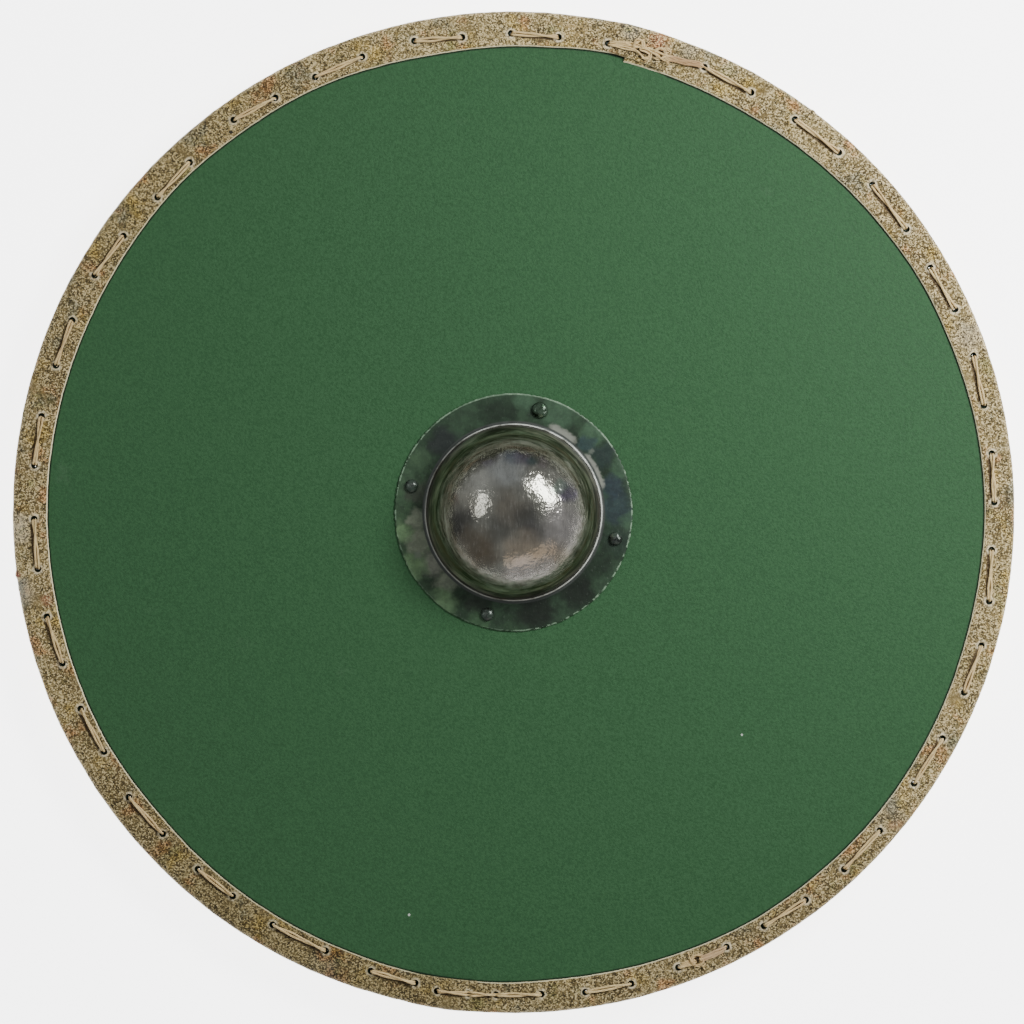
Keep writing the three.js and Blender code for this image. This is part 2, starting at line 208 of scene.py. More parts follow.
# %% Where the cord comes up and goes down
top_run = [(78.6, 381.2), (72.3, 383.6), (66.8, 386.1), (60.5, 384.5)]
bottom_run = [(-86.7, 384.7), (-92.1, 384.9), (-95.4, 385.2), (-99.1, 386.2)]
right_runs = [
    [(54.4, 385.3), (47.9, 386.7)], [(42.4, 387.1), (35.8, 386.0)], [(30.4, 385.1), (24.7, 387.2)],
    [(18.8, 387.2), (12.8, 384.5)], [(7.0, 384.1), (1.2, 383.2)], [(-4.5, 382.2), (-10.6, 385.6)],
    [(-15.9, 387.7), (-21.8, 386.8)], [(-27.8, 386.4), (-34.1, 385.5)], [(-41.0, 386.8), (-47.2, 387.8)],
    [(-53.0, 386.9), (-58.8, 385.5)], [(-63.9, 385.8), (-70.1, 385.8)], [(-76.0, 387.2), (-81.5, 386.6)],
]
left_runs = [
    [(-101.8, 383.2), (-107.3, 382.9)], [(-113.2, 380.2), (-120.3, 380.8)],
    [(-126.2, 379.1), (-131.5, 379.8)], [(-137.5, 379.4), (-143.5, 381.6)],
    [(-149.7, 378.2), (-155.6, 379.0)], [(-161.5, 379.3), (-167.4, 381.3)],
    [(-173.2, 381.9), (-179.2, 382.3)], [(-185.6, 383.7), (-191.5, 384.0)],
    [(-197.8, 383.1), (-203.5, 383.9)], [(-209.5, 383.6), (-215.3, 381.1)],
    [(-221.5, 378.9), (-227.2, 380.1)], [(-234.5, 384.2), (-240.1, 381.1)],
    [(-245.5, 381.3), (-251.6, 382.7)], [(-258.1, 384.0), (-263.8, 380.9)],
    [(-269.7, 381.8), (-275.4, 380.5)],
]
runs = [top_run, *right_runs, bottom_run, *left_runs]


def plan(angle, radius):
    """A point of the plan as (x, y) in millimetres."""
    a = math.radians(angle)
    return np.array([radius * math.cos(a), radius * math.sin(a)])


holes = np.array([plan(*point) for run in runs for point in run])
print(f"{len(runs)} runs of cord on the face, {len(holes)} sewing holes")


# %% [markdown]
# ## Shader helpers
#
# A material is a small tree of nodes. One helper adds a node to the tree that was begun last and fills its
# inputs, each with a number, a colour or another node's output, so that a material below reads as a list
# of what it does.


# %% Add a node
def add(kind, inputs=None, **settings):
    """Adds a shader node, sets its options, then sets or links each input."""
    made = tree.nodes.new("ShaderNode" + kind)
    for key, value in settings.items():
        setattr(made, key, value)
    for key, value in (inputs or {}).items():
        if isinstance(value, bpy.types.NodeSocket):
            tree.links.new(value, made.inputs[key])
        else:
            made.inputs[key].default_value = value
    return made


def new_material(name, **settings):
    """Begins a material with one Principled shader, whose plain settings are given by name."""
    global tree, shader
    material = bpy.data.materials.new(name)
    material.use_nodes = True
    tree = material.node_tree
    tree.nodes.clear()
    shader = add("BsdfPrincipled")
    for key, value in settings.items():
        shader.inputs[key.replace("_", " ")].default_value = value
    tree.links.new(shader.outputs["BSDF"], add("OutputMaterial").inputs["Surface"])
    return material


def feed(name, value):
    """Links a value to one input of the material's shader."""
    tree.links.new(value, shader.inputs[name])


def mix(mask, first, second, blend="MIX"):
    """The colour that lies between two others by a mask. Each is a socket or (red, green, blue)."""
    first, second = (c if isinstance(c, bpy.types.NodeSocket) else (*c, 1) for c in (first, second))
    return add("Mix", {0: mask, 6: first, 7: second}, data_type="RGBA", blend_type=blend).outputs[2]


def between(mask, first, second):
    """The number that lies between two others by a mask."""
    return add("Mix", {0: mask, 2: first, 3: second}, data_type="FLOAT").outputs[0]


def maths(operation, first, second=0.0, third=0.0):
    """One sum of two or three numbers."""
    return add("Math", {0: first, 1: second, 2: third}, operation=operation).outputs[0]


def times(first, *others):
    """The product of two or more numbers."""
    for other in others:
        first = maths("MULTIPLY", first, other)
    return first


def span(value, low, high, to_low=0.0, to_high=1.0):
    """Stretches the part of a value between two bounds to another range, and holds it there."""
    inputs = {"Value": value, "From Min": low, "From Max": high, "To Min": to_low, "To Max": to_high}
    return add("MapRange", inputs, interpolation_type="SMOOTHSTEP").outputs["Result"]


def cloudy(vector, scale, detail, roughness=0.5, distortion=0.0):
    """Soft noise from 0 to 1."""
    inputs = {"Scale": scale, "Detail": detail, "Roughness": roughness, "Distortion": distortion}
    return add("TexNoise", {"Vector": vector, **inputs}).outputs["Fac"]


def bump(height, distance, strength=1.0, normal=None):
    """The normal of a surface raised by a height, at most distance metres."""
    made = add("Bump", {"Height": height, "Distance": distance, "Strength": strength})
    if normal is not None:
        tree.links.new(normal, made.inputs["Normal"])
    return made.outputs["Normal"]


# %% [markdown]
# ## Four effects that several materials share
#
# Patches are soft islands of dirt, wear or tint that fall anywhere, and specks are the fine unevenness in
# paint and steel. Grains are small cells that each have one shade, like the hard grain of dried hide. A
# spot is one soft stain at a chosen place, for the marks that this shield has in places of its own. Each
# is a node group with its own inputs, so that every material sets its own sizes.


# %% Build the four groups
def new_group(name, inputs, output):
    """Begins a node group with a vector input, named float inputs and one float output."""
    global tree
    tree = bpy.data.node_groups.new(name, "ShaderNodeTree")
    tree.interface.new_socket("Vector", in_out="INPUT", socket_type="NodeSocketVector")
    for key, value in inputs.items():
        socket = tree.interface.new_socket(key, in_out="INPUT", socket_type="NodeSocketFloat")
        socket.default_value = value
    tree.interface.new_socket(output, in_out="OUTPUT", socket_type="NodeSocketFloat")
    start = tree.nodes.new("NodeGroupInput")
    end = tree.nodes.new("NodeGroupOutput")
    return tree, start.outputs, end.inputs[output]


patch_group, given, result = new_group(
    "Patches", {"Size": 0.05, "Cover": 0.5, "Softness": 0.1, "Raggedness": 0.6}, "Mask"
)
clouds = cloudy(given["Vector"], maths("DIVIDE", 1.0, given["Size"]), 5.0, given["Raggedness"])
edge = maths("SUBTRACT", 1.0, given["Cover"])
low = maths("SUBTRACT", edge, given["Softness"])
high = maths("ADD", edge, given["Softness"])
tree.links.new(span(clouds, low, high), result)

speck_group, given, result = new_group("Specks", {"Size": 0.002, "Contrast": 1.0}, "Value")
clouds = cloudy(given["Vector"], maths("DIVIDE", 1.0, given["Size"]), 2.0, 0.7)
centred = maths("SUBTRACT", clouds, 0.5)
tree.links.new(maths("MULTIPLY_ADD", centred, given["Contrast"], 0.5), result)

grain_group, given, result = new_group("Grains", {"Size": 0.0013}, "Value")
scale = maths("DIVIDE", 1.0, given["Size"])
cells = add("TexVoronoi", {"Vector": given["Vector"], "Scale": scale}, feature="F1")
tree.links.new(add("SeparateColor", {"Color": cells.outputs["Color"]}).outputs["Red"], result)

spot_group, given, result = new_group("Spot", {"X": 0.0, "Y": 0.0, "Radius": 0.01, "Softness": 0.5}, "Mask")
centre = add("CombineXYZ", {"X": given["X"], "Y": given["Y"]}).outputs["Vector"]
flat = add("VectorMath", {0: given["Vector"], 1: (1.0, 1.0, 0.0)}, operation="MULTIPLY")
gap = add("VectorMath", {0: flat.outputs["Vector"], 1: centre}, operation="DISTANCE")
soft = times(given["Radius"], given["Softness"])
inner = maths("SUBTRACT", given["Radius"], soft)
outer = maths("ADD", given["Radius"], soft)
tree.links.new(span(gap.outputs["Value"], outer, inner), result)
print("shared effects:", patch_group.name, speck_group.name, grain_group.name, spot_group.name)


# %% Place a group in a material
def use_group(group, vector, **values):
    """Places a shared effect in a material and returns its one output."""
    placed = add("Group", node_tree=group)
    tree.links.new(vector, placed.inputs["Vector"])
    for key, value in values.items():
        placed.inputs[key].default_value = value
    return placed.outputs[0]


def here(offset=(0.0, 0.0, 0.0), stretch=(1.0, 1.0, 1.0)):
    """The place on the object, in metres, shifted and stretched."""
    place = add("TexCoord").outputs["Object"]
    return add("Mapping", {"Vector": place, "Location": offset, "Scale": stretch}).outputs["Vector"]


def patches(size, cover, softness=0.1, offset=(0.0, 0.0, 0.0), raggedness=0.6):
    """A mask of soft islands about size metres across."""
    values = {"Size": size, "Cover": cover, "Softness": softness, "Raggedness": raggedness}
    return use_group(patch_group, here(offset), **values)


def specks(size, contrast, offset=(0.0, 0.0, 0.0), stretch=(1.0, 1.0, 1.0)):
    """Fine unevenness about size metres across."""
    return use_group(speck_group, here(offset, stretch), Size=size, Contrast=contrast)


def spot(vector, x, y, radius, softness):
    """A mask that is 1 round one place of the plan, in metres."""
    return use_group(spot_group, vector, X=x, Y=y, Radius=radius, Softness=softness)


def ragged(vector, size, amount):
    """A place pushed about by noise, so that what is drawn at it gets an uneven outline."""
    push = add("TexNoise", {"Vector": vector, "Scale": 1 / size, "Detail": 3.0}).outputs["Color"]
    centred = add("VectorMath", {0: push, 1: (0.5, 0.5, 0.5)}, operation="SUBTRACT").outputs["Vector"]
    moved = add("VectorMath", {0: centred, "Scale": amount}, operation="SCALE").outputs["Vector"]
    return add("VectorMath", {0: vector, 1: moved}, operation="ADD").outputs["Vector"]


def stained(colour, vector, stains, softness=0.6, blend="MIX"):
    """A colour with stains laid over it, each (x, y, radius in mm, colour, amount)."""
    for x, y, radius, tint, amount in stains:
        mask = spot(vector, x / 1000, y / 1000, radius / 1000, softness)
        colour = mix(times(mask, amount), colour, tint, blend)
    return colour


def attribute(name):
    """A number that the mesh carries."""
    return add("Attribute", attribute_name=name).outputs["Fac"]


# %% [markdown]
# ## Green paint
#
# The face is one even coat of satin green, dabbed on, which leaves a stipple of a millimetre or two, a few
# pale scuffs and dark specks of dust. The stipple changes colour and surface both, so that it shows where
# the light is flat. A painted shade lies in a thin dark line against the hide and under it, found by a
# number that the mesh carries.

# %% The paint
green_paint = new_material("green_paint", Specular_IOR_Level=0.15)
where = here()
stipple = specks(0.0019, 3.0)
clouds = patches(0.012, 0.5, 0.3, raggedness=0.5)
broad = patches(0.2, 0.5, 0.3, (0.4, 0.1, 0.0))
scuffs = patches(0.055, 0.27, 0.08, (0.31, 0.12, 0.0))
thin = patches(0.006, 0.5, 0.2, (0.0, 0.4, 0.2))
dust = patches(0.0024, 0.235, 0.012, (1.3, 0.4, 0.2))
colour = mix(stipple, (0.022, 0.070, 0.027), (0.037, 0.105, 0.043))
colour = mix(times(clouds, 0.25), colour, (0.031, 0.086, 0.037))
colour = mix(times(broad, 0.15), colour, (0.036, 0.096, 0.040))
colour = mix(times(scuffs, thin, 0.12), colour, (0.2, 0.28, 0.2))
colour = mix(times(dust, 0.55), colour, (0.012, 0.03, 0.014))
# Painted shade: a dark line against the hide's cut edge, dark all the way under the hide.
shade_at_hide = times(span(attribute("edge_gap"), 1.9, 0.5), 0.92)
colour = mix(shade_at_hide, colour, (0.007, 0.016, 0.009))
flecks = [(-83.4, -321.1, 1.0, (0.6, 0.64, 0.58), 0.8), (182.1, -177.5, 0.9, (0.6, 0.64, 0.58), 0.7)]
colour = stained(colour, where, flecks, 0.3)
feed("Base Color", colour)
feed("Roughness", span(stipple, 0.2, 0.8, 0.5, 0.62))
feed("Normal", bump(stipple, 0.0002, 0.6))
print("paint on the face:", green_paint.name)

# %% [markdown]
# ## Bare wood
#
# The back and the wall of the hand hole are oiled wood. Grain is noise drawn out long in one direction.
# In the wall of the hole the board shows its glued layers, light and dark by turns, which only need the
# height above the floor.


# %% Oiled wood and the layered edge
def wood_material(name, light, dark, turn, length=14.0, roughness=0.6):
    """Oiled wood with its grain along one direction of the plan, in degrees."""
    material = new_material(name)
    across_grain = {"Vector": here(), "Rotation": (0.0, 0.0, math.radians(-turn))}
    turned_place = add("Mapping", across_grain).outputs["Vector"]
    drawn = add("Mapping", {"Vector": turned_place, "Scale": (1.0, length, length)}).outputs["Vector"]
    waver = cloudy(drawn, 3.0, 3.0)
    rings = cloudy(drawn, 16.0, 6.0, 0.65, 0.4)
    pores = cloudy(drawn, 75.0, 2.0)
    colour = mix(span(rings, 0.32, 0.68), dark, light)
    colour = mix(span(waver, 0.3, 0.75, 0.0, 0.35), colour, dark)
    colour = mix(span(pores, 0.56, 0.7, 0.0, 0.55), colour, tuple(0.35 * c for c in dark))
    feed("Base Color", colour)
    feed("Roughness", span(rings, 0.3, 0.7, roughness + 0.08, roughness - 0.08))
    feed("Normal", bump(pores, 0.0002, 0.6, bump(rings, 0.0003, 0.4)))
    return material


back_wood = wood_material("back_wood", (0.40, 0.27, 0.145), (0.27, 0.165, 0.08), 90)

layered_edge = new_material("layered_edge", Roughness=0.7)
height = add("SeparateXYZ", {"Vector": here()}).outputs["Z"]
layer = maths("FRACT", times(height, 1000 / 3.0))
end_grain = span(maths("PINGPONG", layer, 0.5), 0.2, 0.3)
fibre = specks(0.0012, 2.0, stretch=(1.0, 1.0, 0.15))
colour = mix(end_grain, (0.13, 0.075, 0.036), (0.34, 0.22, 0.115))
colour = mix(span(fibre, 0.3, 0.9, 0.0, 0.5), colour, (0.09, 0.055, 0.03))
feed("Base Color", colour)
feed("Normal", bump(fibre, 0.0002, 0.6))
print("wood:", back_wood.name, "and", layered_edge.name)

# %% [markdown]
# ## How the strips wander
#
# The outside of the fold is nearly a true circle, but the cut edge on the face is not: it swings in and
# out by a few millimetres as the strip was trimmed by hand. These short tables give its radius every so
# many degrees, and a running mean rounds off the corners between them. The right strip ends under the
# left one at the top and the bottom, where the left strip rides up over it.

# %% The cut edges and the laps
left_edge = [
    (71, 370.6), (76, 373.6), (80, 374.3), (85, 371.8), (90, 371.9), (100, 370.2), (115, 373.3),
    (125, 372.5), (135, 373.8), (145, 372.1), (155, 371.4), (175, 372.0), (195, 371.8), (210, 372.7),
    (220, 371.1), (235, 373.1), (250, 374.2), (258, 375.8), (266, 374.6),
]
right_edge = [
    (-100, 375.5), (-90, 375.2), (-85, 373.8), (-75, 374.8), (-65, 376.3), (-60, 377.4), (-50, 376.7),
    (-40, 377.0), (-25, 375.6), (-15, 374.5), (0, 375.8), (10, 375.4), (20, 373.7), (30, 373.5),
    (37, 371.7), (50, 369.8), (60, 368.3), (70, 369.1), (77, 369.9),
]


def smooth_step(value):
    """0 below 0, 1 above 1 and an even slope between."""
    value = np.clip(value, 0, 1)
    return value * value * (3 - 2 * value)


def cut_edge(table, angles):
    """The radius of a strip's cut edge at each angle, with the table's corners rounded off."""
    offsets = np.linspace(-2.5, 2.5, 11)
    turns, radii = zip(*table)
    return np.mean([np.interp(angles + offset, turns, radii) for offset in offsets], axis=0)


def lap_rise(angles):
    """How far the left strip rides up, where the ends of the right one lie beneath it."""
    degree = 180 / (math.pi * hide_radius)
    over_top = right_hide[1] + 2 * degree - angles
    over_bottom = angles - (right_hide[0] + 360) + 2 * degree
    return lap_lift * smooth_step(1 + np.maximum(over_top, over_bottom) / (lap_ramp * degree))


test = np.array([71.5, 76.0, 78.0, 180.0, 262.0])
print("left strip's cut edge:", cut_edge(left_edge, test).round(1), "rise:", lap_rise(test).round(2))

# %% [markdown]
# ## The board
#
# The board is one flat disc with a round hand hole, a slim section with eased corners spun right round.
# The face, the back and the wall of the hole are told apart by where each lies, and get paint, oiled wood
# and layered edge. Holes are drilled with a Boolean, as nothing else makes 66 of them as simply. Where
# the cord only passes over a hole, nothing comes through behind, and the hole is left blind.


# %% Drill holes
def drilled(piece, drills):
    """Cuts the drills, a bmesh of closed rods in millimetres, out of a finished piece."""
    drills.transform(Matrix.Scale(0.001, 4))
    mesh = mesh_of("drills", drills)
    cutter = new_object("drills", mesh)
    cutting = piece.modifiers.new("drilled", "BOOLEAN")
    cutting.operation = "DIFFERENCE"
    cutting.solver = "MANIFOLD"
    cutting.object = cutter
    before = len(piece.data.polygons)
    result = as_seen(piece)
    piece.modifiers.clear()
    old, piece.data = piece.data, result
    result.name = old.name
    bpy.data.meshes.remove(old)
    bpy.data.objects.remove(cutter)
    bpy.data.meshes.remove(mesh)
    print(f"{piece.name}: {before} faces before drilling, {len(result.polygons)} after")


def rods(places, radius, sides=20, low=0.0, high=60.0, uneven=0.0):
    """Upright rods at places of the plan, as a bmesh in millimetres, each a little oval if uneven."""
    bm = bmesh.new()
    rng = np.random.default_rng(3)
    for x, y in places:
        stretch, turn = rng.uniform(-uneven, uneven), rng.uniform(0, math.pi)
        at = Matrix.Translation((x, y, (low + high) / 2)) @ Matrix.Rotation(turn, 4, "Z")
        at = at @ Matrix.Diagonal((1 + stretch, 1 - stretch, 1, 1))
        rod = {"segments": sides, "radius1": radius, "radius2": radius, "depth": high - low}
        bmesh.ops.create_cone(bm, cap_ends=True, matrix=at, **rod)
    return bm


rivet_places = {key: plan(angle, rivet_circle) for key, angle in rivet_angles.items()}
print("rivets at", {key: place.round(1).tolist() for key, place in rivet_places.items()})

# %% Turn the board
ease = 0.9
section = [
    (hand_hole_radius, board_back + ease),
    (hand_hole_radius, board_front - ease),
    (hand_hole_radius + 0.25 * ease, board_front - 0.3 * ease),
    (hand_hole_radius + ease, board_front),
    *[(r, board_front) for r in (75, 100, 130, 170, 210, 250, 290, 330, 360, 366, 372, 380)],
    (board_radius - 2, board_front),
    (board_radius, board_front - 2),
    (board_radius, board_back + 2),
    (board_radius - 2, board_back),
    *[(r, board_back) for r in (365, 290, 210, 130, 85)],
    (hand_hole_radius + ease, board_back),
    (hand_hole_radius + 0.25 * ease, board_back + 0.3 * ease),
]
bm = turned(section, 10, 24)
for face in bm.faces:
    middle = face.calc_center_median()
    reach = math.hypot(middle.x, middle.y)
    if face.normal.z > 0.9 and reach > hand_hole_radius + 0.5:
        face.material_index = 0
    elif reach < hand_hole_radius + 0.5 or abs(face.normal.z) < 0.5:
        face.material_index = 2
    else:
        face.material_index = 1
gap_layer = bm.verts.layers.float.new("edge_gap")
for v in bm.verts:
    angle = math.degrees(math.atan2(v.co.y, v.co.x))
    on_right = right_hide[0] < angle < left_hide[0]
    table, turn = (right_edge, angle) if on_right else (left_edge, angle % 360)
    v[gap_layer] = cut_edge(table, turn) - math.hypot(v.co.x, v.co.y)
board = finish_piece("painted_board", bm, [green_paint, back_wood, layered_edge], "board")
drilled(board, rods(rivet_places.values(), rivet_bore, 14))
shared = np.array([plan(*point) for run in (top_run, bottom_run) for point in run[1:-1]])
through = np.array([hole for hole in holes if np.hypot(*(shared - hole).T).min() > 1])
drilled(board, rods(through, bore_radius, 10))
drilled(board, rods(shared, bore_radius, 10, low=board_back + 3))

# %% [markdown]
# ## Rawhide
#
# The rim is two strips of rawhide, wetted, folded over the board's edge and sewn. Dry, it is mottled from
# beige to olive brown, with a hard light and dark grain. It is pale along the cut edge and round each hole.
# Painted shade makes each sewing hole nearly black, lies on the lower left of the cord as its shadow, and
# darkens the lower left of the rim and two smaller parts. Numbers that the mesh carries say how far across
# the strip a place is, how far from the nearest hole and from the cord's painted shadow, and whether its
# cut edge is bare.

# %% The hide's material
folded_rawhide = new_material("folded_rawhide", Specular_IOR_Level=0.25)
where = here()
across, hole_gap, cord_shadow_gap = attribute("across"), attribute("hole_gap"), attribute("cord_shadow_gap")
large = patches(0.06, 0.52, 0.12, raggedness=0.65)
fine = patches(0.009, 0.5, 0.12, (0.2, 0.9, 0.0))
colour = mix(large, (0.165, 0.118, 0.043), (0.27, 0.205, 0.083))
colour = mix(times(fine, 0.4), colour, (0.125, 0.092, 0.034))
smoky, sandy = (0.10, 0.105, 0.10), (0.40, 0.345, 0.235)
reddish, mossy = (0.34, 0.12, 0.065), (0.10, 0.12, 0.05)
hide_stains = [
    (48.9, 384.6, 11, (0.40, 0.29, 0.11), 0.7), (92.8, 384.6, 8, smoky, 0.7),
    (140.6, 367.0, 7, smoky, 0.55), (116.7, 376.6, 8, reddish, 0.6), (170.1, 352.7, 6, mossy, 0.6),
    (-393.3, -6.7, 6, sandy, 0.8), (-393.0, -16.0, 8, sandy, 0.8), (-393.6, -63.9, 10, sandy, 0.8),
    (-372.0, -69.9, 5, reddish, 0.6), (364.0, 141.3, 10, sandy, 0.6),
    (-396.5, -50.0, 3, (0.25, 0.05, 0.035), 0.9), (302.0, -240.0, 14, smoky, 0.35),
    (-150.0, -358.0, 12, smoky, 0.45),
]
colour = stained(colour, ragged(where, 0.012, 0.008), hide_stains)
print("hide:", folded_rawhide.name, "with", len(hide_stains), "stains in places of their own")

# %% Grain, edges, specks and painted shade on the hide
grained = patches(0.035, 0.64, 0.1, (2.2, 0.3, 0.0))
strength = span(grained, 0.0, 1.0, 0.3, 1.0)
grains = use_group(grain_group, where, Size=0.00092)
clumps = specks(0.0034, 3.0, (0.4, 0.0, 0.3))
light_grain = times(span(grains, 0.54, 0.9, 0.0, 0.72), strength)
dark_grain = times(span(grains, 0.5, 0.12, 0.0, 0.86), strength)
colour = mix(span(clumps, 0.45, 0.0, 0.0, 0.25), colour, (0.085, 0.060, 0.026))
colour = mix(light_grain, colour, (0.80, 0.65, 0.34))
colour = mix(dark_grain, colour, (0.030, 0.022, 0.010))
hide_patches = [
    ((0.7, 0.2, 0.0), 0.035, 0.36, (1.30, 1.30, 1.36), 0.8),
    ((1.2, 0.6, 0.0), 0.026, 0.38, (1.15, 0.76, 0.60), 0.8),
    ((0.1, 1.6, 0.0), 0.022, 0.38, (0.58, 0.68, 0.88), 0.8),
    ((1.9, 0.1, 0.0), 0.030, 0.40, (1.08, 0.98, 0.58), 0.9),
    ((0.3, 2.3, 0.0), 0.024, 0.36, (0.62, 0.70, 0.50), 0.8),
]
for offset, size, cover, tint, amount in hide_patches:
    colour = mix(times(patches(size, cover, 0.07, offset), amount), colour, tint, "MULTIPLY")
# Painted shadow of the cord on the hide, along its lower left side.
colour = mix(span(cord_shadow_gap, 2.5, 1.2, 0.0, 0.85), colour, (0.05, 0.028, 0.012))
cut_line = times(span(across, 0.030, 0.014, 0.0, 0.9), attribute("bare_edge"))
colour = mix(cut_line, colour, (0.92, 0.84, 0.55))
flaking = specks(0.0026, 4.0, (0.0, 0.7, 0.3))
halo = times(span(hole_gap, 2.9, 0.4), span(flaking, 0.1, 0.75, 0.15, 0.95))
colour = mix(halo, colour, (0.80, 0.70, 0.46))
# Painted shade: each sewing hole's edge and wall are darkened nearly to black.
colour = mix(span(hole_gap, 0.45, 0.1, 0.0, 0.95), colour, (0.012, 0.009, 0.006))
colour = stained(colour, where, [(-225.4, 303.2, 1.5, (0.01, 0.01, 0.01), 0.9)], 0.3)
# Painted shade: the lower left of the rim, and smaller parts at the lower right and upper left, are
# darkened.
painted_shade_sides = [
    (-163.0, -349.0, 200, (0.62, 0.62, 0.58), 1.0), (192.0, -333.0, 110, (0.80, 0.80, 0.80), 1.0),
    (-272.0, 272.0, 170, (0.80, 0.79, 0.74), 1.0),
]
colour = stained(colour, where, painted_shade_sides, 0.7, "MULTIPLY")
feed("Base Color", colour)
feed("Roughness", span(grains, 0.1, 0.9, 0.82, 0.6))
feed("Normal", bump(grains, 0.0003, 0.5, bump(clumps, 0.0005, 0.5)))
print("sides of the rim that are darker:", len(painted_shade_sides))

# %% [markdown]
# ## The folded section
#
# The section is a U round the board's edge. Its outer line has a point every 1.4 mm, for lumps, puckers
# and holes, and its hidden inner line only a few. Each point carries how far across the strip it is, from
# 0 at the cut edge to 1 at the fold, and which way is outwards, as a radial and an upward share.


# %% Draw the section
def hide_section():
    """The (radius, height) points of the folded hide, with what each point carries."""
    bend = 5.5
    middle, face = hide_middle, hide_face
    turn = hide_radius - bend
    outer = [(hide_mouth, face - 1.0, -1.0, 0.0), (hide_mouth + 0.25, face - 0.35, -0.7, 0.7)]
    for r in np.arange(hide_mouth + 0.8, turn - 0.5, 1.35):
        outer.append((r, face, 0.0, 1.0))
    for a in np.radians(np.linspace(90, 0, 8)):
        out, up = math.cos(a), math.sin(a)
        outer.append((turn + bend * out, face - bend + bend * up, out, up))
    outer.append((hide_radius, middle, 1.0, 0.0))
    back = [(r, 2 * middle - z, out, -up) for r, z, out, up in reversed(outer[:-1])]
    inner = [(hide_mouth, hide_inside_back), (383.0, hide_inside_back), (turn, hide_inside_back)]
    for a in np.radians([-60, -30]):
        inner.append((turn + 3.5 * math.cos(a), hide_inside_back + 3.5 + 3.5 * math.sin(a)))
    inner.append((398.0, middle))
    inner += [(r, 2 * middle - z) for r, z in reversed(inner[:-1])]
    points = [(r, z) for r, z, _, _ in outer + back] + inner
    out = [p[2] for p in outer + back] + [0.0] * len(inner)
    up = [p[3] for p in outer + back] + [0.0] * len(inner)
    share = [(r - hide_mouth) / (hide_radius - hide_mouth) for r, _ in points]
    return points, {"across": share, "out": out, "up": up}


section, carried = hide_section()
print(f"the hide's section has {len(section)} points")


# %% [markdown]
# ## Shaping a strip
#
# The spun strip is even, so its points are now moved along the radius and up or down. The cut edge goes
# in or out, the laps ride up, soft lumps thicken and thin the hide, each hole is drawn up into a pucker,
# and the cord presses a shallow channel between its two holes.


# %% Distances to holes and stitches
def gap_to_holes(places):
    """How far each place of the plan is from the centre of the nearest sewing hole."""
    nearest = np.full(len(places), 1e6)
    for hole in holes:
        nearest = np.minimum(nearest, np.hypot(*(places - hole).T))
    return nearest


def gap_to_stitches(places):
    """How far each place of the plan is from the nearest stretch of cord on the face."""
    nearest = np.full(len(places), 1e6)
    for run in runs:
        for first, last in zip(run, run[1:]):
            a, b = plan(*first), plan(*last)
            along = np.clip((places - a) @ (b - a) / ((b - a) @ (b - a)), 0, 1)
            nearest = np.minimum(nearest, np.hypot(*(places - a - along[:, None] * (b - a)).T))
    return nearest


# %% Shape and finish a strip
scraps = [(-396.8, -50.0, 2.4, 1.9), (-397.3, -61.2, 1.6, 1.6), (239.0, 319.8, 1.6, 1.6)]


def tucked(angles):
    """1 where the right strip's ends are hidden under the left one's, and 0 elsewhere."""
    over_top = smooth_step((angles - left_hide[0] - 0.2) / 0.4)
    return over_top + smooth_step((left_hide[1] - 360.2 - angles) / 0.4)


def angles_from(start, places):
    """The angle of each place in degrees, counted on from just before a start."""
    return (np.degrees(np.arctan2(places[:, 1], places[:, 0])) - start + 1) % 360 + start - 1


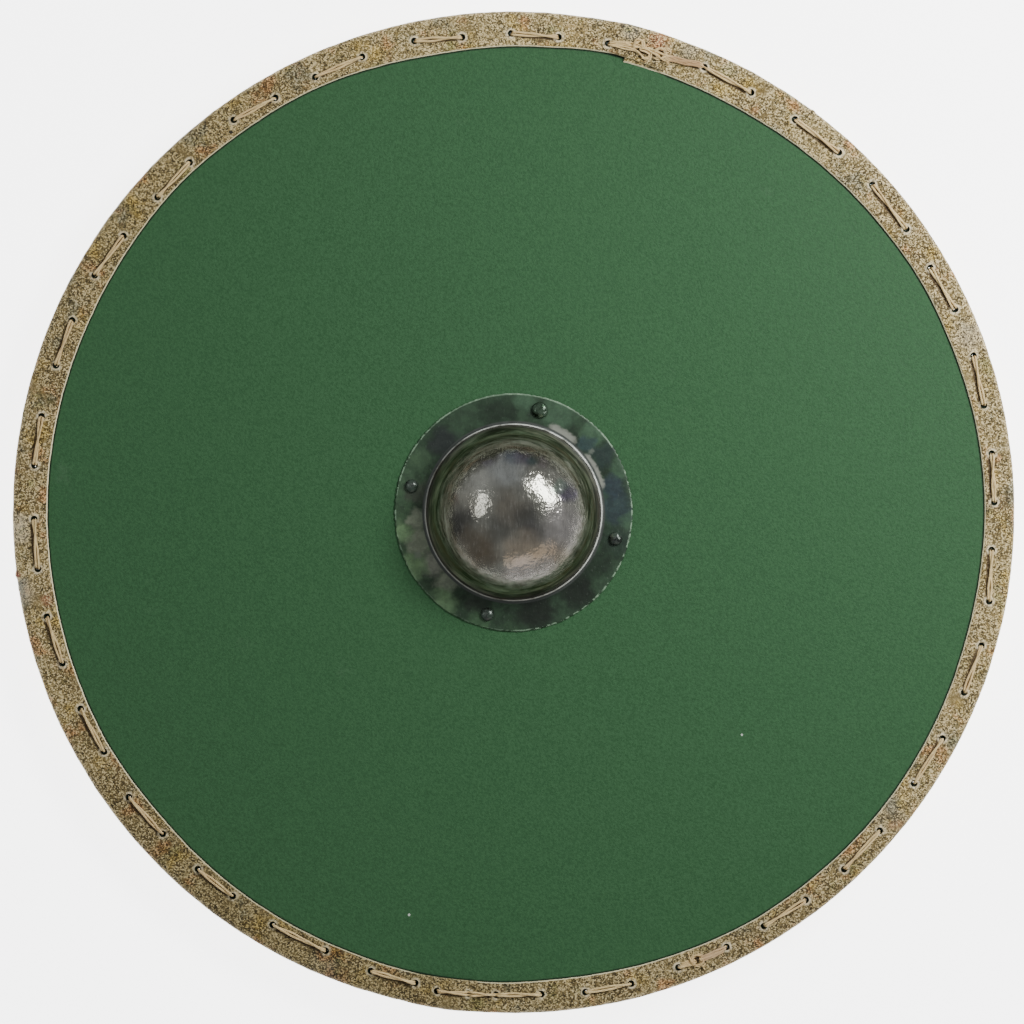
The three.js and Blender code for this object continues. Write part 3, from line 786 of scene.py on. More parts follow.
def hide_strip(name, node, ends, table, rise, tuck, seed):
    """One strip of folded hide between two angles."""
    sweep = ends[1] - ends[0]
    bm = turned(section, round(sweep / 6), 32, ends[0], sweep, layers=carried)
    places = corners(bm)
    read = {key: bm.verts.layers.float[key] for key in carried}
    across, out, up = (np.array([v[read[key]] for v in bm.verts]) for key in ("across", "out", "up"))
    angles = angles_from(ends[0], places)
    reach = np.hypot(places[:, 0], places[:, 1])
    flap = np.sign(places[:, 2] - hide_middle) * smooth_step(np.abs(places[:, 2] - hide_middle) / 4)
    back_table = [(turn, 2 * hide_mouth - radius) for turn, radius in table]
    cut = np.where(flap >= 0, cut_edge(table, angles), cut_edge(back_table, angles))
    trim = 0.22 * lumps(places * (1, 1, 0), 11, seed)
    reach_move = (cut - hide_mouth + trim) * np.clip(1 - across, 0, 1) ** 0.8
    ride = rise(angles)
    from_end = np.minimum(angles - ends[0], ends[1] - angles) * math.pi * hide_radius / 180
    skived = 0.9 * (1 - smooth_step(from_end / skived_length)) * (ride > 0)
    skin = (np.abs(out) + np.abs(up)) > 0
    swell = 0.42 * lumps(places, 16, seed + 3) + 0.22 * lumps(places, 5, seed + 7, 2)
    to_hole = gap_to_holes(places[:, :2])
    swell += pucker_height * np.exp(-(((to_hole - 2.9) / 1.5) ** 2))
    swell -= channel_depth * np.exp(-((gap_to_stitches(places[:, :2]) / 2.2) ** 2)) * (flap > 0)
    swell *= skin * (0.35 + 0.65 * smooth_step(across * 8))
    swell -= skin * (skived * smooth_step((across - 0.1) / 0.5) + 0.6 * tuck(angles))
    for x, y, size, height in scraps:
        gap = np.hypot(places[:, 0] - x, places[:, 1] - y)
        swell += skin * height * np.exp(-((gap / size) ** 2))
    at_fold = smooth_step((across - 0.6) / 0.4)
    reach_move += out * (0.6 * swell - 0.9 * tuck(angles)) + 0.3 * ride * at_fold
    new_reach = reach + reach_move
    a = np.radians(angles)
    height = places[:, 2] + up * swell + flap * ride
    move_corners(bm, np.stack([new_reach * np.cos(a), new_reach * np.sin(a), height], axis=1))
    strip = finish_piece(name, bm, [folded_rawhide], node, 60)
    drilled(strip, rods(holes, awl_radius, 14, uneven=0.16))
    cells = np.array([v.co[:] for v in strip.data.vertices]) * 1000
    told = {
        "hole_gap": gap_to_holes(cells[:, :2]) - awl_radius,
        # Distance to the cord's painted shadow: the stitches moved to their lower left.
        "cord_shadow_gap": np.where(cells[:, 2] > hide_middle, gap_to_stitches(cells[:, :2] + (1.7, 0.9)), 9.0),
        "bare_edge": 1 - 0.85 * smooth_step(rise(angles_from(ends[0], cells)) / lap_lift),
    }
    for key, values in told.items():
        carrier = strip.data.attributes.new(key, "FLOAT", "POINT")
        carrier.data.foreach_set("value", values.astype(np.float32))
    for key in ("out", "up"):
        strip.data.attributes.remove(strip.data.attributes[key])
    return strip


def level(angles):
    """A strip that neither rides up nor is tucked in."""
    return 0 * angles


left_strip = hide_strip("hide_left", "rim_hide_left", left_hide, left_edge, lap_rise, level, 1)
hide_strip("hide_right", "rim_hide_right", right_hide, right_edge, level, tucked, 5)
print("attributes the hide carries:", [a.name for a in left_strip.data.attributes if a.domain == "POINT"])

# %% [markdown]
# ## Hemp cord
#
# The cord is two plies of hemp twisted together. Each ply is a curve with a round bevel that winds round
# the route of the cord, so its twist is real and catches the light. Each point carries how far along the
# cord it is and where round the ply, and the material draws its fibres out along the first.

# %% The cord's material
hemp = new_material("hemp", Roughness=0.85, Specular_IOR_Level=0.25)
fibre_place = add("Attribute", attribute_name="fibre").outputs["Vector"]
drawn = add("Mapping", {"Vector": fibre_place, "Scale": (2.6, 2.6, 0.16)}).outputs["Vector"]
strands = cloudy(drawn, 1.6, 3.0, 0.6)
stain = patches(0.03, 0.5, 0.15)
colour = mix(span(strands, 0.28, 0.6), (0.23, 0.14, 0.05), (0.84, 0.66, 0.33))
colour = mix(times(stain, 0.4), colour, (0.50, 0.31, 0.14))
straps = [(137.0, 359.0, 13, (0.33, 0.19, 0.10), 0.7), (160.0, -351.5, 11, (0.42, 0.27, 0.17), 0.6)]
colour = stained(colour, here(), straps, 0.2)
feed("Base Color", colour)
feed("Normal", bump(strands, 0.0004, 0.8))
print("cord:", hemp.name)


# %% [markdown]
# ## The cord's route
#
# On the face the cord lies on the hide between two holes. It then turns down through the board, lies flat
# behind it to the next hole and comes up again. The route is written as straight stretches, stepped
# finely, and a running mean along it bends every corner as a real cord bends.


# %% Smooth and step a route
def stepped(points, step=0.9, bend=3.0):
    """Points every step millimetres along a line of straight stretches with its corners rounded."""
    points = np.array(points, float)
    lengths = np.concatenate([[0], np.cumsum(np.linalg.norm(np.diff(points, axis=0), axis=1))])
    fine = np.arange(0, lengths[-1], 0.3)
    line = np.stack([np.interp(fine, lengths, points[:, i]) for i in range(3)], axis=1)
    width = max(3, int(bend / 0.3) | 1)
    padded = np.concatenate([[line[0]] * (width // 2), line, [line[-1]] * (width // 2)])
    kernel = np.hanning(width + 2)[1:-1]
    kernel /= kernel.sum()
    line = np.stack([np.convolve(padded[:, i], kernel, "valid") for i in range(3)], axis=1)
    lengths = np.concatenate([[0], np.cumsum(np.linalg.norm(np.diff(line, axis=0), axis=1))])
    even = np.linspace(0, lengths[-1], max(4, int(lengths[-1] / step)))
    return np.stack([np.interp(even, lengths, line[:, i]) for i in range(3)], axis=1), even


def side_frames(line):
    """Two directions square to a line at each of its points, carried along without twisting."""
    tangents = np.gradient(line, axis=0)
    tangents /= np.linalg.norm(tangents, axis=1)[:, None]
    first = np.cross(tangents[0], (0.0, 0.0, 1.0))
    if np.linalg.norm(first) < 0.1:
        first = np.cross(tangents[0], (1.0, 0.0, 0.0))
    sides = [first / np.linalg.norm(first)]
    for tangent in tangents[1:]:
        side = sides[-1] - tangent * (sides[-1] @ tangent)
        sides.append(side / np.linalg.norm(side))
    sides = np.array(sides)
    return sides, np.cross(tangents, sides)


# %% Twist plies along a route
bevel_sides = 8


def add_ply(curve, line, thickness):
    """Adds one thread to a curve object's data, with a thickness share at each point."""
    thread = curve.splines.new("POLY")
    thread.points.add(len(line) - 1)
    flat = np.concatenate([line * 0.001, np.ones((len(line), 1))], axis=1)
    thread.points.foreach_set("co", flat.astype(np.float32).ravel())
    thread.points.foreach_set("radius", np.asarray(thickness, np.float32))


def cord_mesh(name, strands):
    """A mesh of cords. Each strand is (points, radius, pitch, flatness, plies), in millimetres.

    Plies wind round the strand once in each pitch, or lie side by side as a flat band if it is 0.
    """
    curve = bpy.data.curves.new(name, "CURVE")
    curve.dimensions = "3D"
    curve.bevel_depth = 0.001
    curve.bevel_resolution = (bevel_sides - 4) // 2
    fibre = []
    for number, (points, radius, pitch, flat, plies) in enumerate(strands):
        line, along = stepped(points, min(0.9, radius), 2.6 * min(radius, 1.3))
        side, rise = side_frames(line)
        loose = 1 + 0.12 * np.sin(along / 7.3 + number) + 0.1 * np.sin(along / 2.9 + 2 * number)
        thin = np.clip(np.minimum(along, along[-1] - along) / (3 * radius) + 0.45, 0, 1)
        depth = np.abs(line[:, 2] - (board_back + board_front) / 2)
        thin *= 0.66 + 0.34 * smooth_step((depth - 4.5) / 3.0)
        for ply in range(plies):
            if pitch:
                turn = 2 * math.pi * (along / pitch + ply / plies) + number
                reach = 0.52 * radius * loose * thin
                away = side * (reach * np.cos(turn) * (1 + flat))[:, None]
                away += rise * (reach * np.sin(turn) * (1 - 0.5 * flat))[:, None]
                share = 0.56
            else:
                share = 1.25 / plies
                wander = 0.1 * np.sin(along / 2.3 + 2.1 * ply)
                away = side * (radius * thin * (2 * (ply + 0.5) / plies - 1 + wander))[:, None]
            thickness = share * radius * thin * (1 + 0.08 * np.sin(along / 3.7 + 3 * ply))
            add_ply(curve, line + away, thickness)
            fibre.append((along + 400 * ply + 900 * number, share * radius))
    maker = new_object(name + "_route", curve)
    mesh = as_seen(maker)
    mesh.name = name
    bpy.data.objects.remove(maker)
    bpy.data.curves.remove(curve)
    bm = bmesh.new()
    bm.from_mesh(mesh)
    bmesh.ops.holes_fill(bm, edges=[edge for edge in bm.edges if edge.is_boundary], sides=0)
    bm.to_mesh(mesh)
    bm.free()
    carry_fibres(mesh, fibre)
    return mesh


def carry_fibres(mesh, fibre):
    """Gives each vertex its place round and along its ply, in millimetres."""
    rings = np.concatenate([along for along, _ in fibre])
    widths = np.concatenate([np.full(len(along), radius) for along, radius in fibre])
    turn = np.tile(2 * math.pi * np.arange(bevel_sides) / bevel_sides, len(rings))
    around = np.repeat(widths, bevel_sides)
    values = np.stack([around * np.cos(turn), around * np.sin(turn), np.repeat(rings, bevel_sides)], axis=1)
    if len(values) != len(mesh.vertices):
        raise ValueError(f"{mesh.name} has {len(mesh.vertices)} vertices, not {len(values)}")
    carried = mesh.attributes.new("fibre", "FLOAT_VECTOR", "POINT")
    carried.data.foreach_set("vector", values.astype(np.float32).ravel())


# %% [markdown]
# ## Two lengths of cord
#
# One length runs clockwise from the tie near the top to the tie at the lower right, and the other from
# there round the bottom and the left and back to the top. Each knot is made as it looks from the face: the
# ends cross, a loop goes round them, and what is left over is cut short and frays.


# %% Lay the cord through its holes
def face_level(angle):
    """The height of a cord's middle where it lies on the hide."""
    turn = angle % 360
    ride = float(lap_rise(np.array([turn]))[0]) if left_hide[0] < turn < left_hide[1] else 0.0
    return hide_face + ride + cord_radius - 0.25


def back_level(angle):
    """The same behind the board."""
    return hide_inside_front + hide_inside_back - face_level(angle)


def pulled(hole, towards, distance):
    """A point beside a hole's centre, on the side that the cord is pulled towards."""
    a, b = plan(*hole), plan(*towards)
    return a + distance * (b - a) / np.linalg.norm(b - a)


def lay(sequence):
    """The cord's route through runs of holes, which follow one another on the face and behind it."""
    points = []
    for index, run in enumerate(sequence):
        if index:
            last = sequence[index - 1][-1]
            points.append((*plan(*last), board_front - 2.0))
            for hole, other in ((last, run[0]), (run[0], last)):
                x, y = pulled(hole, other, 0.5)
                points.append((x, y, back_level(hole[0])))
            points.append((*plan(*run[0]), board_front - 2.0))
        for place, hole in enumerate(run):
            other = run[place + 1] if place + 1 < len(run) else run[place - 1]
            if 0 < place < len(run) - 1:
                x, y = pulled(hole, run[place - 1], 3.2)
                points.append((x, y, face_level(hole[0])))
                points.append((*plan(*hole), face_level(hole[0]) - 3.4))
            x, y = pulled(hole, other, 3.2 if 0 < place < len(run) - 1 else 1.3)
            points.append((x, y, face_level(hole[0])))
    return points


top_tie, lower_tie = (74.6, 383.5), (-67.6, 386.2)
right_sequence = [[top_tie, *top_run[2:]], *right_runs[:-2], [right_runs[-2][0], lower_tie]]
left_sequence = [
    [lower_tie, right_runs[-2][1]],
    right_runs[-1],
    bottom_run,
    *left_runs,
    [(top_run[0][0] - 360, top_run[0][1]), (top_tie[0] - 360, top_tie[1])],
]
right_route, left_route = lay(right_sequence), lay(left_sequence)
print(len(right_route), "and", len(left_route), "points in the two routes")


# %% The strands of the two knots
# Each strand has its radius, pitch, flatness and plies, then points of (x, y, height over the hide) in mm
top_knot = {
    "upper end": (1.3, 60, 0.3, 2, [
        (77.8, 375.0, 0.3), (86.0, 374.4, 1.3), (95.7, 372.9, 1.6), (101.4, 370.8, 2.4),
        (107.5, 367.3, 2.2), (113.6, 364.3, 1.6), (117.0, 362.8, 0.8),
    ]),
    "bow": (1.25, 60, 0.4, 2, [
        (77.0, 372.0, 0.0), (81.0, 371.8, 0.9), (89.0, 369.9, 1.3), (96.5, 368.2, 1.6),
        (100.5, 365.3, 2.2), (103.6, 361.4, 1.6), (108.2, 361.8, 1.4), (109.0, 365.6, 1.8),
        (104.4, 368.0, 2.6), (99.5, 369.0, 2.8),
    ]),
    "cap": (1.7, 14, 0.2, 2, [
        (95.6, 369.0, 1.5), (96.2, 373.2, 3.2), (98.8, 375.8, 3.5), (102.8, 375.2, 3.1),
        (103.4, 371.4, 2.9), (100.6, 368.4, 1.8),
    ]),
    "loop round": (1.05, 12, 0.1, 2, [
        (111.8, 364.8, 1.2), (113.2, 368.2, 2.4), (117.2, 369.8, 2.8), (121.4, 367.4, 2.4),
        (121.1, 364.0, 1.8), (117.9, 361.7, 1.6), (113.8, 361.0, 1.6), (110.6, 362.4, 1.0),
    ]),
    "strap": (2.3, 0, 0.0, 4, [
        (119.5, 363.4, 1.2), (125.0, 361.4, 1.0), (133.0, 359.4, 0.8), (142.0, 357.8, 0.7),
        (149.0, 356.4, 0.3), (151.6, 355.4, -2.4),
    ]),
    "short end": (0.8, 12, 0.1, 2, [
        (113.0, 362.4, 2.6), (117.2, 361.4, 3.0), (121.8, 359.0, 1.4),
    ]),
}
lower_knot = {
    "strap": (2.3, 0, 0.0, 4, [
        (168.6, -347.8, -2.4), (166.2, -349.0, 0.5), (160.0, -351.8, 1.3), (153.0, -354.9, 1.5),
        (147.5, -357.2, 1.3),
    ]),
    "ring": (1.15, 12, 0.1, 2, [
        (151.0, -353.4, 0.8), (146.5, -352.4, 2.2), (142.6, -354.2, 2.8), (141.0, -358.2, 2.4),
        (144.0, -361.4, 1.5), (148.8, -360.6, 2.0), (151.0, -357.0, 3.0), (147.5, -354.8, 3.2),
    ]),
    "left end": (1.9, 0, 0.0, 3, [
        (145.0, -356.6, 1.4), (140.0, -358.6, 1.6), (135.5, -360.6, 1.0), (132.4, -362.4, -2.0),
    ]),
    "crossing": (0.8, 20, 0.1, 2, [
        (139.6, -352.8, 1.0), (140.6, -355.6, 3.2), (142.2, -358.4, 3.6), (144.6, -361.2, 2.8),
        (148.0, -361.8, 1.4),
    ]),
    "tip": (0.6, 12, 0.1, 2, [
        (148.4, -358.4, 1.6), (150.9, -362.0, 1.3), (153.2, -358.9, 0.9),
    ]),
}
print("strands in the knots:", len(top_knot), "and", len(lower_knot))


# %% Tie the knots
def tied(knot, ground):
    """A knot's strands, set on a level."""
    return [([(x, y, ground + h) for x, y, h in points], *how) for *how, points in knot.values()]


def frayed(root, direction, count, length, seed):
    """Loose fibres that splay out of a cut end of cord."""
    rng = np.random.default_rng(seed)
    root = np.array(root)
    ends = []
    for _ in range(count):
        angle = math.radians(direction + rng.uniform(-38, 38))
        reach, bow = length * rng.uniform(0.55, 1.0), rng.uniform(-0.8, 0.8)
        ahead = np.array([math.cos(angle), math.sin(angle), 0])
        aside = np.array([-math.sin(angle), math.cos(angle), 0])
        middle = root + 0.5 * reach * ahead + bow * aside + (0, 0, rng.uniform(0.0, 0.8))
        end = root + reach * ahead - (0, 0, rng.uniform(0.2, 1.2))
        ends.append(([root, middle, end], rng.uniform(0.22, 0.34), 6, 0.0, 2))
    return ends


over_lap = hide_face + lap_lift
plain_cord = (1.6, 70, 0.35, 2)
top_frays = frayed((121.5, 359.2, over_lap + 1.5), -60, 6, 4.5, 4)
top_frays += frayed((120.5, 368.0, over_lap + 2.2), 40, 6, 5.0, 9)
top_frays += frayed((103.0, 375.0, over_lap + 3.0), 30, 4, 3.0, 21)
lower_frays = frayed((150.6, -361.6, hide_face + 1.2), -30, 5, 4.0, 12)
lower_frays += frayed((140.0, -353.0, hide_face + 1.0), 120, 4, 3.5, 15)
right_strands = [(right_route, *plain_cord), *tied(lower_knot, hide_face), *lower_frays]
left_strands = [(left_route, *plain_cord), *tied(top_knot, over_lap), *top_frays]
for side, strands in (("right", right_strands), ("left", left_strands)):
    mesh = cord_mesh(f"hemp_{side}", strands)
    finish_mesh(f"hemp_{side}", mesh, [hemp], f"cord_{side}", 180)

# %% [markdown]
# ## Steel
#
# The dome was raised by hammering and then brushed: round its base in the lathe, and up and down over the
# crown. It has darkened with age. Its patches of brown, grey, blue and violet and the dark band round its
# base are painted reflections of the room round it. Round the base, streaks are noise that changes fast
# away from the axis and slowly round it. The flange keeps smears of the board's green paint, rubbed thin,
# and is painted lighter on its left, where the dome shades it. A ragged bright line along its filed edge is
# partly a painted highlight, and a painted highlight rings the dome's foot.

# %% Brushed streaks and hammer marks
steel = new_material("brushed_steel", Specular_IOR_Level=0.22)
where = here()
parts = add("SeparateXYZ", {"Vector": where})
x, y = parts.outputs["X"], parts.outputs["Y"]
reach = maths("SQRT", maths("ADD", times(x, x), times(y, y)))
safe_reach = maths("MAXIMUM", reach, 0.001)


def round_place(rate):
    """A place that changes slowly round the axis, and at a rate away from it."""
    shares = {"X": maths("DIVIDE", x, safe_reach), "Y": maths("DIVIDE", y, safe_reach)}
    return add("CombineXYZ", {**shares, "Z": times(reach, rate)}).outputs["Vector"]


ring_streaks = cloudy(round_place(260.0), 2.2, 5.0, 0.7)
crown_streaks = cloudy(here(stretch=(1.0, 0.16, 0.3)), 760.0, 5.0, 0.7)
crown = span(reach, 0.060, 0.040)
streaks = between(crown, ring_streaks, crown_streaks)
dents = specks(0.0062, 1.6)
ripples = specks(0.0026, 1.0)
on_dome = span(reach, 0.0712, 0.0698)

# %% Painted reflections on the dome
uneven = ragged(where, 0.016, 0.014)
grey, ash, violet, blue = (0.50, 0.50, 0.44), (0.44, 0.46, 0.44), (0.13, 0.11, 0.175), (0.11, 0.135, 0.18)
blackish, umber, tan, rose = (0.09, 0.09, 0.08), (0.15, 0.122, 0.085), (0.40, 0.335, 0.25), (0.50, 0.47, 0.44)
reflected_green = (0.23, 0.31, 0.25)
# Painted reflections of the room: brown and rose below, grey at the upper left, blue and violet at the top
# and right, green beside the right highlight and dark in the middle.
painted_dome_reflections = [
    (-29, 26, 17, grey, 0.8), (-40, 8, 13, (0.30, 0.29, 0.24), 0.7), (-6, 33, 12, ash, 0.7),
    (-22, 44, 8, violet, 0.6), (-4, 47, 8, blue, 0.75), (9, 45, 8, violet, 0.7),
    (22, 40, 8, (0.19, 0.16, 0.165), 0.7), (14, 40, 5, (0.07, 0.11, 0.10), 0.8), (44, 16, 7, violet, 0.8),
    (35, 19, 5, reflected_green, 0.6), (39, -7, 12, rose, 0.8), (35, -20, 12, rose, 0.8),
    (-3, 3, 13, (0.21, 0.185, 0.145), 0.7), (11, -6, 11, blackish, 0.75),
    (16, -16, 9, (0.14, 0.135, 0.13), 0.7), (-42, -8, 13, (0.06, 0.06, 0.055), 0.8),
    (-51, -15, 11, (0.05, 0.05, 0.045), 0.8), (-29, -25, 13, umber, 0.8), (-22, -34, 10, umber, 0.75),
    (8, -31, 15, tan, 0.85), (30, -34, 11, tan, 0.7), (6, -49, 12, rose, 0.8), (26, -46, 10, rose, 0.7),
    (-10, -14, 9, blackish, 0.6), (-47, 10, 4, (0.16, 0.08, 0.06), 0.6),
]
metal = stained((0.27, 0.27, 0.23), uneven, painted_dome_reflections, 0.6)
blotches = patches(0.011, 0.5, 0.16)
metal = mix(times(blotches, 0.3), metal, (0.10, 0.095, 0.08))
metal = mix(span(streaks, 0.5, 0.78, 0.0, 0.25), metal, (0.60, 0.59, 0.54))
metal = mix(span(streaks, 0.48, 0.25, 0.0, 0.35), metal, (0.06, 0.058, 0.05))
print("stains on the dome:", len(painted_dome_reflections))

# %% The painted reflection in the band round the dome's base
# Painted reflection: the band stands in for the dark board and horizon that the steep base mirrors, set a
# little off centre; its brushed arcs are real.
lean = maths("MULTIPLY_ADD", x, 0.05, times(y, -0.11))
base_reach = maths("SUBTRACT", maths("MULTIPLY_ADD", blotches, 0.004, reach), lean)
arcs = cloudy(round_place(110.0), 1.7, 4.0, 0.6)
band = mix(span(streaks, 0.35, 0.7), (0.035, 0.037, 0.023), (0.17, 0.175, 0.13))
band = mix(span(arcs, 0.52, 0.68, 0.0, 0.75), band, (0.085, 0.066, 0.042))
band = mix(span(arcs, 0.46, 0.32, 0.0, 0.6), band, (0.24, 0.25, 0.205))
metal = mix(span(base_reach, 0.047, 0.058), metal, band)
# Painted reflection: the outer parts of the band are lifted in two steps to a lighter tone.
metal = mix(span(reach, 0.050, 0.058), metal, (1.75, 1.68, 1.75), "MULTIPLY")
metal = mix(span(reach, 0.0585, 0.0640), metal, (2.1, 2.0, 2.0), "MULTIPLY")
# Painted shade: a near-black line on the steep wall just inside the foot.
metal = mix(span(reach, 0.0672, 0.0690, 0.0, 0.7), metal, (0.03, 0.032, 0.026))

# %% Black and green on the flange
blackened = mix(streaks, (0.03, 0.034, 0.032), (0.10, 0.11, 0.10))
black, deep, moss = (0.008, 0.013, 0.008), (0.013, 0.026, 0.014), (0.026, 0.053, 0.028)
pale_green, olive_grey, slate = (0.050, 0.102, 0.057), (0.110, 0.135, 0.098), (0.028, 0.045, 0.049)
lit_moss, leaf = (0.085, 0.150, 0.075), (0.048, 0.100, 0.048)
# Smears of green paint, and painted light: the patches from about 180 to 235 degrees, where the dome shades
# the flange, are made lighter.
flange_smears_and_painted_light = [
    (66, 86, 13, pale_green, 0.7), (45, 89, 9, pale_green, 0.8), (85, 89, 8, pale_green, 0.7),
    (102, 79, 9, deep, 0.95), (116, 88, 9, moss, 0.8), (135, 79, 11, (0.016, 0.021, 0.019), 0.95),
    (150, 87, 8, (0.034, 0.066, 0.034), 0.8), (168, 79, 9, (0.036, 0.046, 0.033), 0.8),
    (184, 77, 8, olive_grey, 0.9), (197, 79, 10, olive_grey, 0.9), (212, 78, 9, (0.115, 0.130, 0.105), 0.9),
    (226, 77, 8, olive_grey, 0.9), (190, 91, 8, lit_moss, 0.8), (208, 90, 10, lit_moss, 0.8),
    (232, 90, 10, lit_moss, 0.8), (248, 79, 9, (0.018, 0.028, 0.018), 0.9), (252, 91, 8, leaf, 0.8),
    (270, 91, 8, (0.022, 0.048, 0.023), 0.8), (283, 79, 15, black, 0.95), (310, 80, 14, black, 0.9),
    (328, 79, 11, deep, 0.9), (320, 91, 8, moss, 0.8), (345, 86, 11, (0.018, 0.034, 0.022), 0.9),
    (2, 82, 12, slate, 0.8), (14, 82, 9, (0.026, 0.040, 0.050), 0.8),
    (32, 83, 9, (0.020, 0.035, 0.030), 0.9), (43, 79, 7, (0.027, 0.050, 0.050), 0.8),
    (356, 91, 6, pale_green, 0.6), (22, 91, 7, pale_green, 0.6),
]
smears = [(angle, 73.2, 2.8, (0.24, 0.25, 0.215), 0.6) for angle in range(17, 39, 2)]
smears += [(angle, 74.0, 3.4, (0.23, 0.24, 0.205), 0.6) for angle in range(51, 66, 2)]
smears += [(38, 79, 2.2, (0.13, 0.15, 0.125), 0.6), (204, 84, 3, (0.16, 0.18, 0.15), 0.5)]
tables = (flange_smears_and_painted_light, smears)
flange_smears_and_painted_light, smears = ([(*plan(a, r), *rest) for a, r, *rest in table] for table in tables)
smear = patches(0.020, 0.5, 0.1, (0.09, 0.05, 0.0))
film = patches(0.008, 0.62, 0.2, (0.33, 0.61, 0.0))
mottle = patches(0.0045, 0.5, 0.12, (0.53, 0.2, 0.0))
scratches = cloudy(here(stretch=(1.0, 0.35, 1.0)), 900.0, 5.0, 0.7)
paint = mix(smear, deep, moss)
paint = mix(span(reach, 0.082, 0.093, 0.0, 0.5), paint, moss)
paint = stained(paint, ragged(where, 0.009, 0.013), flange_smears_and_painted_light, 0.42)
paint = mix(times(mottle, 0.5), paint, (0.5, 0.5, 0.52), "MULTIPLY")
# Painted light: the left side of the flange, where the dome shades it, is lightened.
painted_light_left = spot(where, -0.088, -0.022, 0.055, 0.7)
paint = mix(painted_light_left, paint, (1.75, 1.65, 1.60), "MULTIPLY")
paint = stained(paint, ragged(where, 0.003, 0.004), smears, 0.5)
paint = mix(span(scratches, 0.58, 0.78, 0.0, 0.45), paint, (0.13, 0.16, 0.13))
off_dome = span(reach, 0.0722, 0.0735)
paint_film = times(off_dome, span(film, 0.0, 1.0, 0.85, 1.0))
metal = mix(on_dome, blackened, metal)
colour = mix(paint_film, metal, paint)
print("smears on the flange:", len(flange_smears_and_painted_light) + len(smears))

# %% Painted highlights at the dome's foot and on the flange's filed edge
# Painted highlight: a pale, partly non-metal line round the dome's foot, strongest towards the upper right
# and broken in places.
foot_highlight = times(span(reach, 0.0696, 0.0700), span(reach, 0.0710, 0.0706))
highlight_breaks = patches(0.014, 0.58, 0.16, (0.5, 0.2, 0.4))
upper = span(maths("MULTIPLY_ADD", y, 0.5, x), -0.07, 0.06, 0.4, 1.0)
foot_highlight = times(foot_highlight, upper, span(highlight_breaks, 0.0, 1.0, 0.12, 1.0))
colour = mix(foot_highlight, colour, (0.66, 0.68, 0.63))
# Partly painted highlight: pale dashes along the filed edge, strongest at the top and weak at the lower
# left.
dashes = span(specks(0.0045, 3.0), 0.35, 0.7)
top_edge = spot(where, 0.0, 0.095, 0.07, 0.5)
low_left = spot(where, -0.058, -0.074, 0.06, 0.6)
filed_edge_highlight = maths("MAXIMUM", dashes, times(top_edge, 0.6))
filed_edge_highlight = times(filed_edge_highlight, span(low_left, 0.0, 1.0, 1.0, 0.25), span(reach, 0.0934, 0.0941), 0.8)
colour = mix(filed_edge_highlight, colour, (0.20, 0.30, 0.20))
feed("Base Color", colour)
feed("Metallic", maths("SUBTRACT", 1.0, maths("MAXIMUM", paint_film, times(foot_highlight, 0.75))))
crown_rough = span(streaks, 0.3, 0.75, 0.12, 0.2)
base_rough = span(streaks, 0.3, 0.75, 0.30, 0.42)
dome_rough = between(span(reach, 0.040, 0.060), crown_rough, base_rough)
feed("Roughness", between(on_dome, span(film, 0.0, 1.0, 0.34, 0.5), dome_rough))
calm = span(on_dome, 0.0, 1.0, 0.35, 1.0)
wrinkles = bump(times(dents, calm), 0.0006, 0.5)
wrinkles = bump(times(ripples, calm), 0.00022, 0.4, wrinkles)
feed("Normal", bump(streaks, 0.00005, 0.4, wrinkles))
print("boss:", steel.name)

# %% [markdown]
# ## The boss
#
# The boss is a dome of sheet steel drawn out of a flat flange, with a tight hollow bend between the two.
# Its section has an outer and an inner line 1.6 mm apart. It is spun in 1008 steps, eight to each of the
# 126 small cuts round the flange's edge, and then gently hammered by moving its points along the radius
# and up, the inner side with the outer so that the sheet keeps its thickness.


# %% Spin and hammer the boss
def boss_line(offset):
    """The boss's section from the crown to the flange's edge, one side of the sheet."""
    root = 3.0 + offset
    top = boss_sheet - offset
    across, up = dome_radius - offset, dome_height - 3.0 - offset
    points = []
    for turn in np.radians(np.concatenate([np.arange(0, 84, 3.5), np.linspace(84, 90, 4)])):
        points.append((across * math.sin(turn), top + root + up * math.cos(turn)))
    for turn in np.radians(np.linspace(0, 90, 7)[1:]):
        points.append((across + root * (1 - math.cos(turn)), top + root * (1 - math.sin(turn))))
    points += [(r, top) for r in np.linspace(across + root, 93.6, 8)[1:]]
    return points


outside, inside = boss_line(0.0), boss_line(boss_sheet)
edge_turn = [(94.5, boss_sheet - 0.15), (flange_radius, boss_sheet - 0.6), (flange_radius, 0.5)]
edge_turn += [(94.6, 0.0)]
section = [(r, z + boss_seat) for r, z in outside + edge_turn + inside[::-1]]
section[0] = (0.0, section[0][1])
section[-1] = (0.0, section[-1][1])
bm = turned(section, 28, 36, closed=False)
places = corners(bm)
reach = np.hypot(places[:, 0], places[:, 1])
angles = np.arctan2(places[:, 1], places[:, 0])
share = smooth_step((reach - 92.8) / 1.6)
edge_cuts = 126
cuts = (angles * edge_cuts / (2 * math.pi)) % 1
worn = np.clip(0.5 + 1.6 * lumps(places * (1, 1, 0), 24, 4), 0.15, 1)
notch = 0.6 * worn * np.exp(-(((cuts - 0.5) / 0.22) ** 2)) + 0.3 * lumps(places * (1, 1, 0), 7, 2)
crown = np.maximum(0.0, places[:, 2] - boss_seat - 4) / 62
blows = 0.55 * lumps(places, 13, 6, 2) + 0.9 * lumps(places, 45, 8, 1)
grow = 1 - share * notch / np.maximum(reach, 1) + crown**0.5 * blows * 0.5 / 69
wave = 0.35 * lumps(places * (1, 1, 0), 20, 11, 2) * smooth_step((reach - 74) / 12)
places[:, :2] *= grow[:, None]
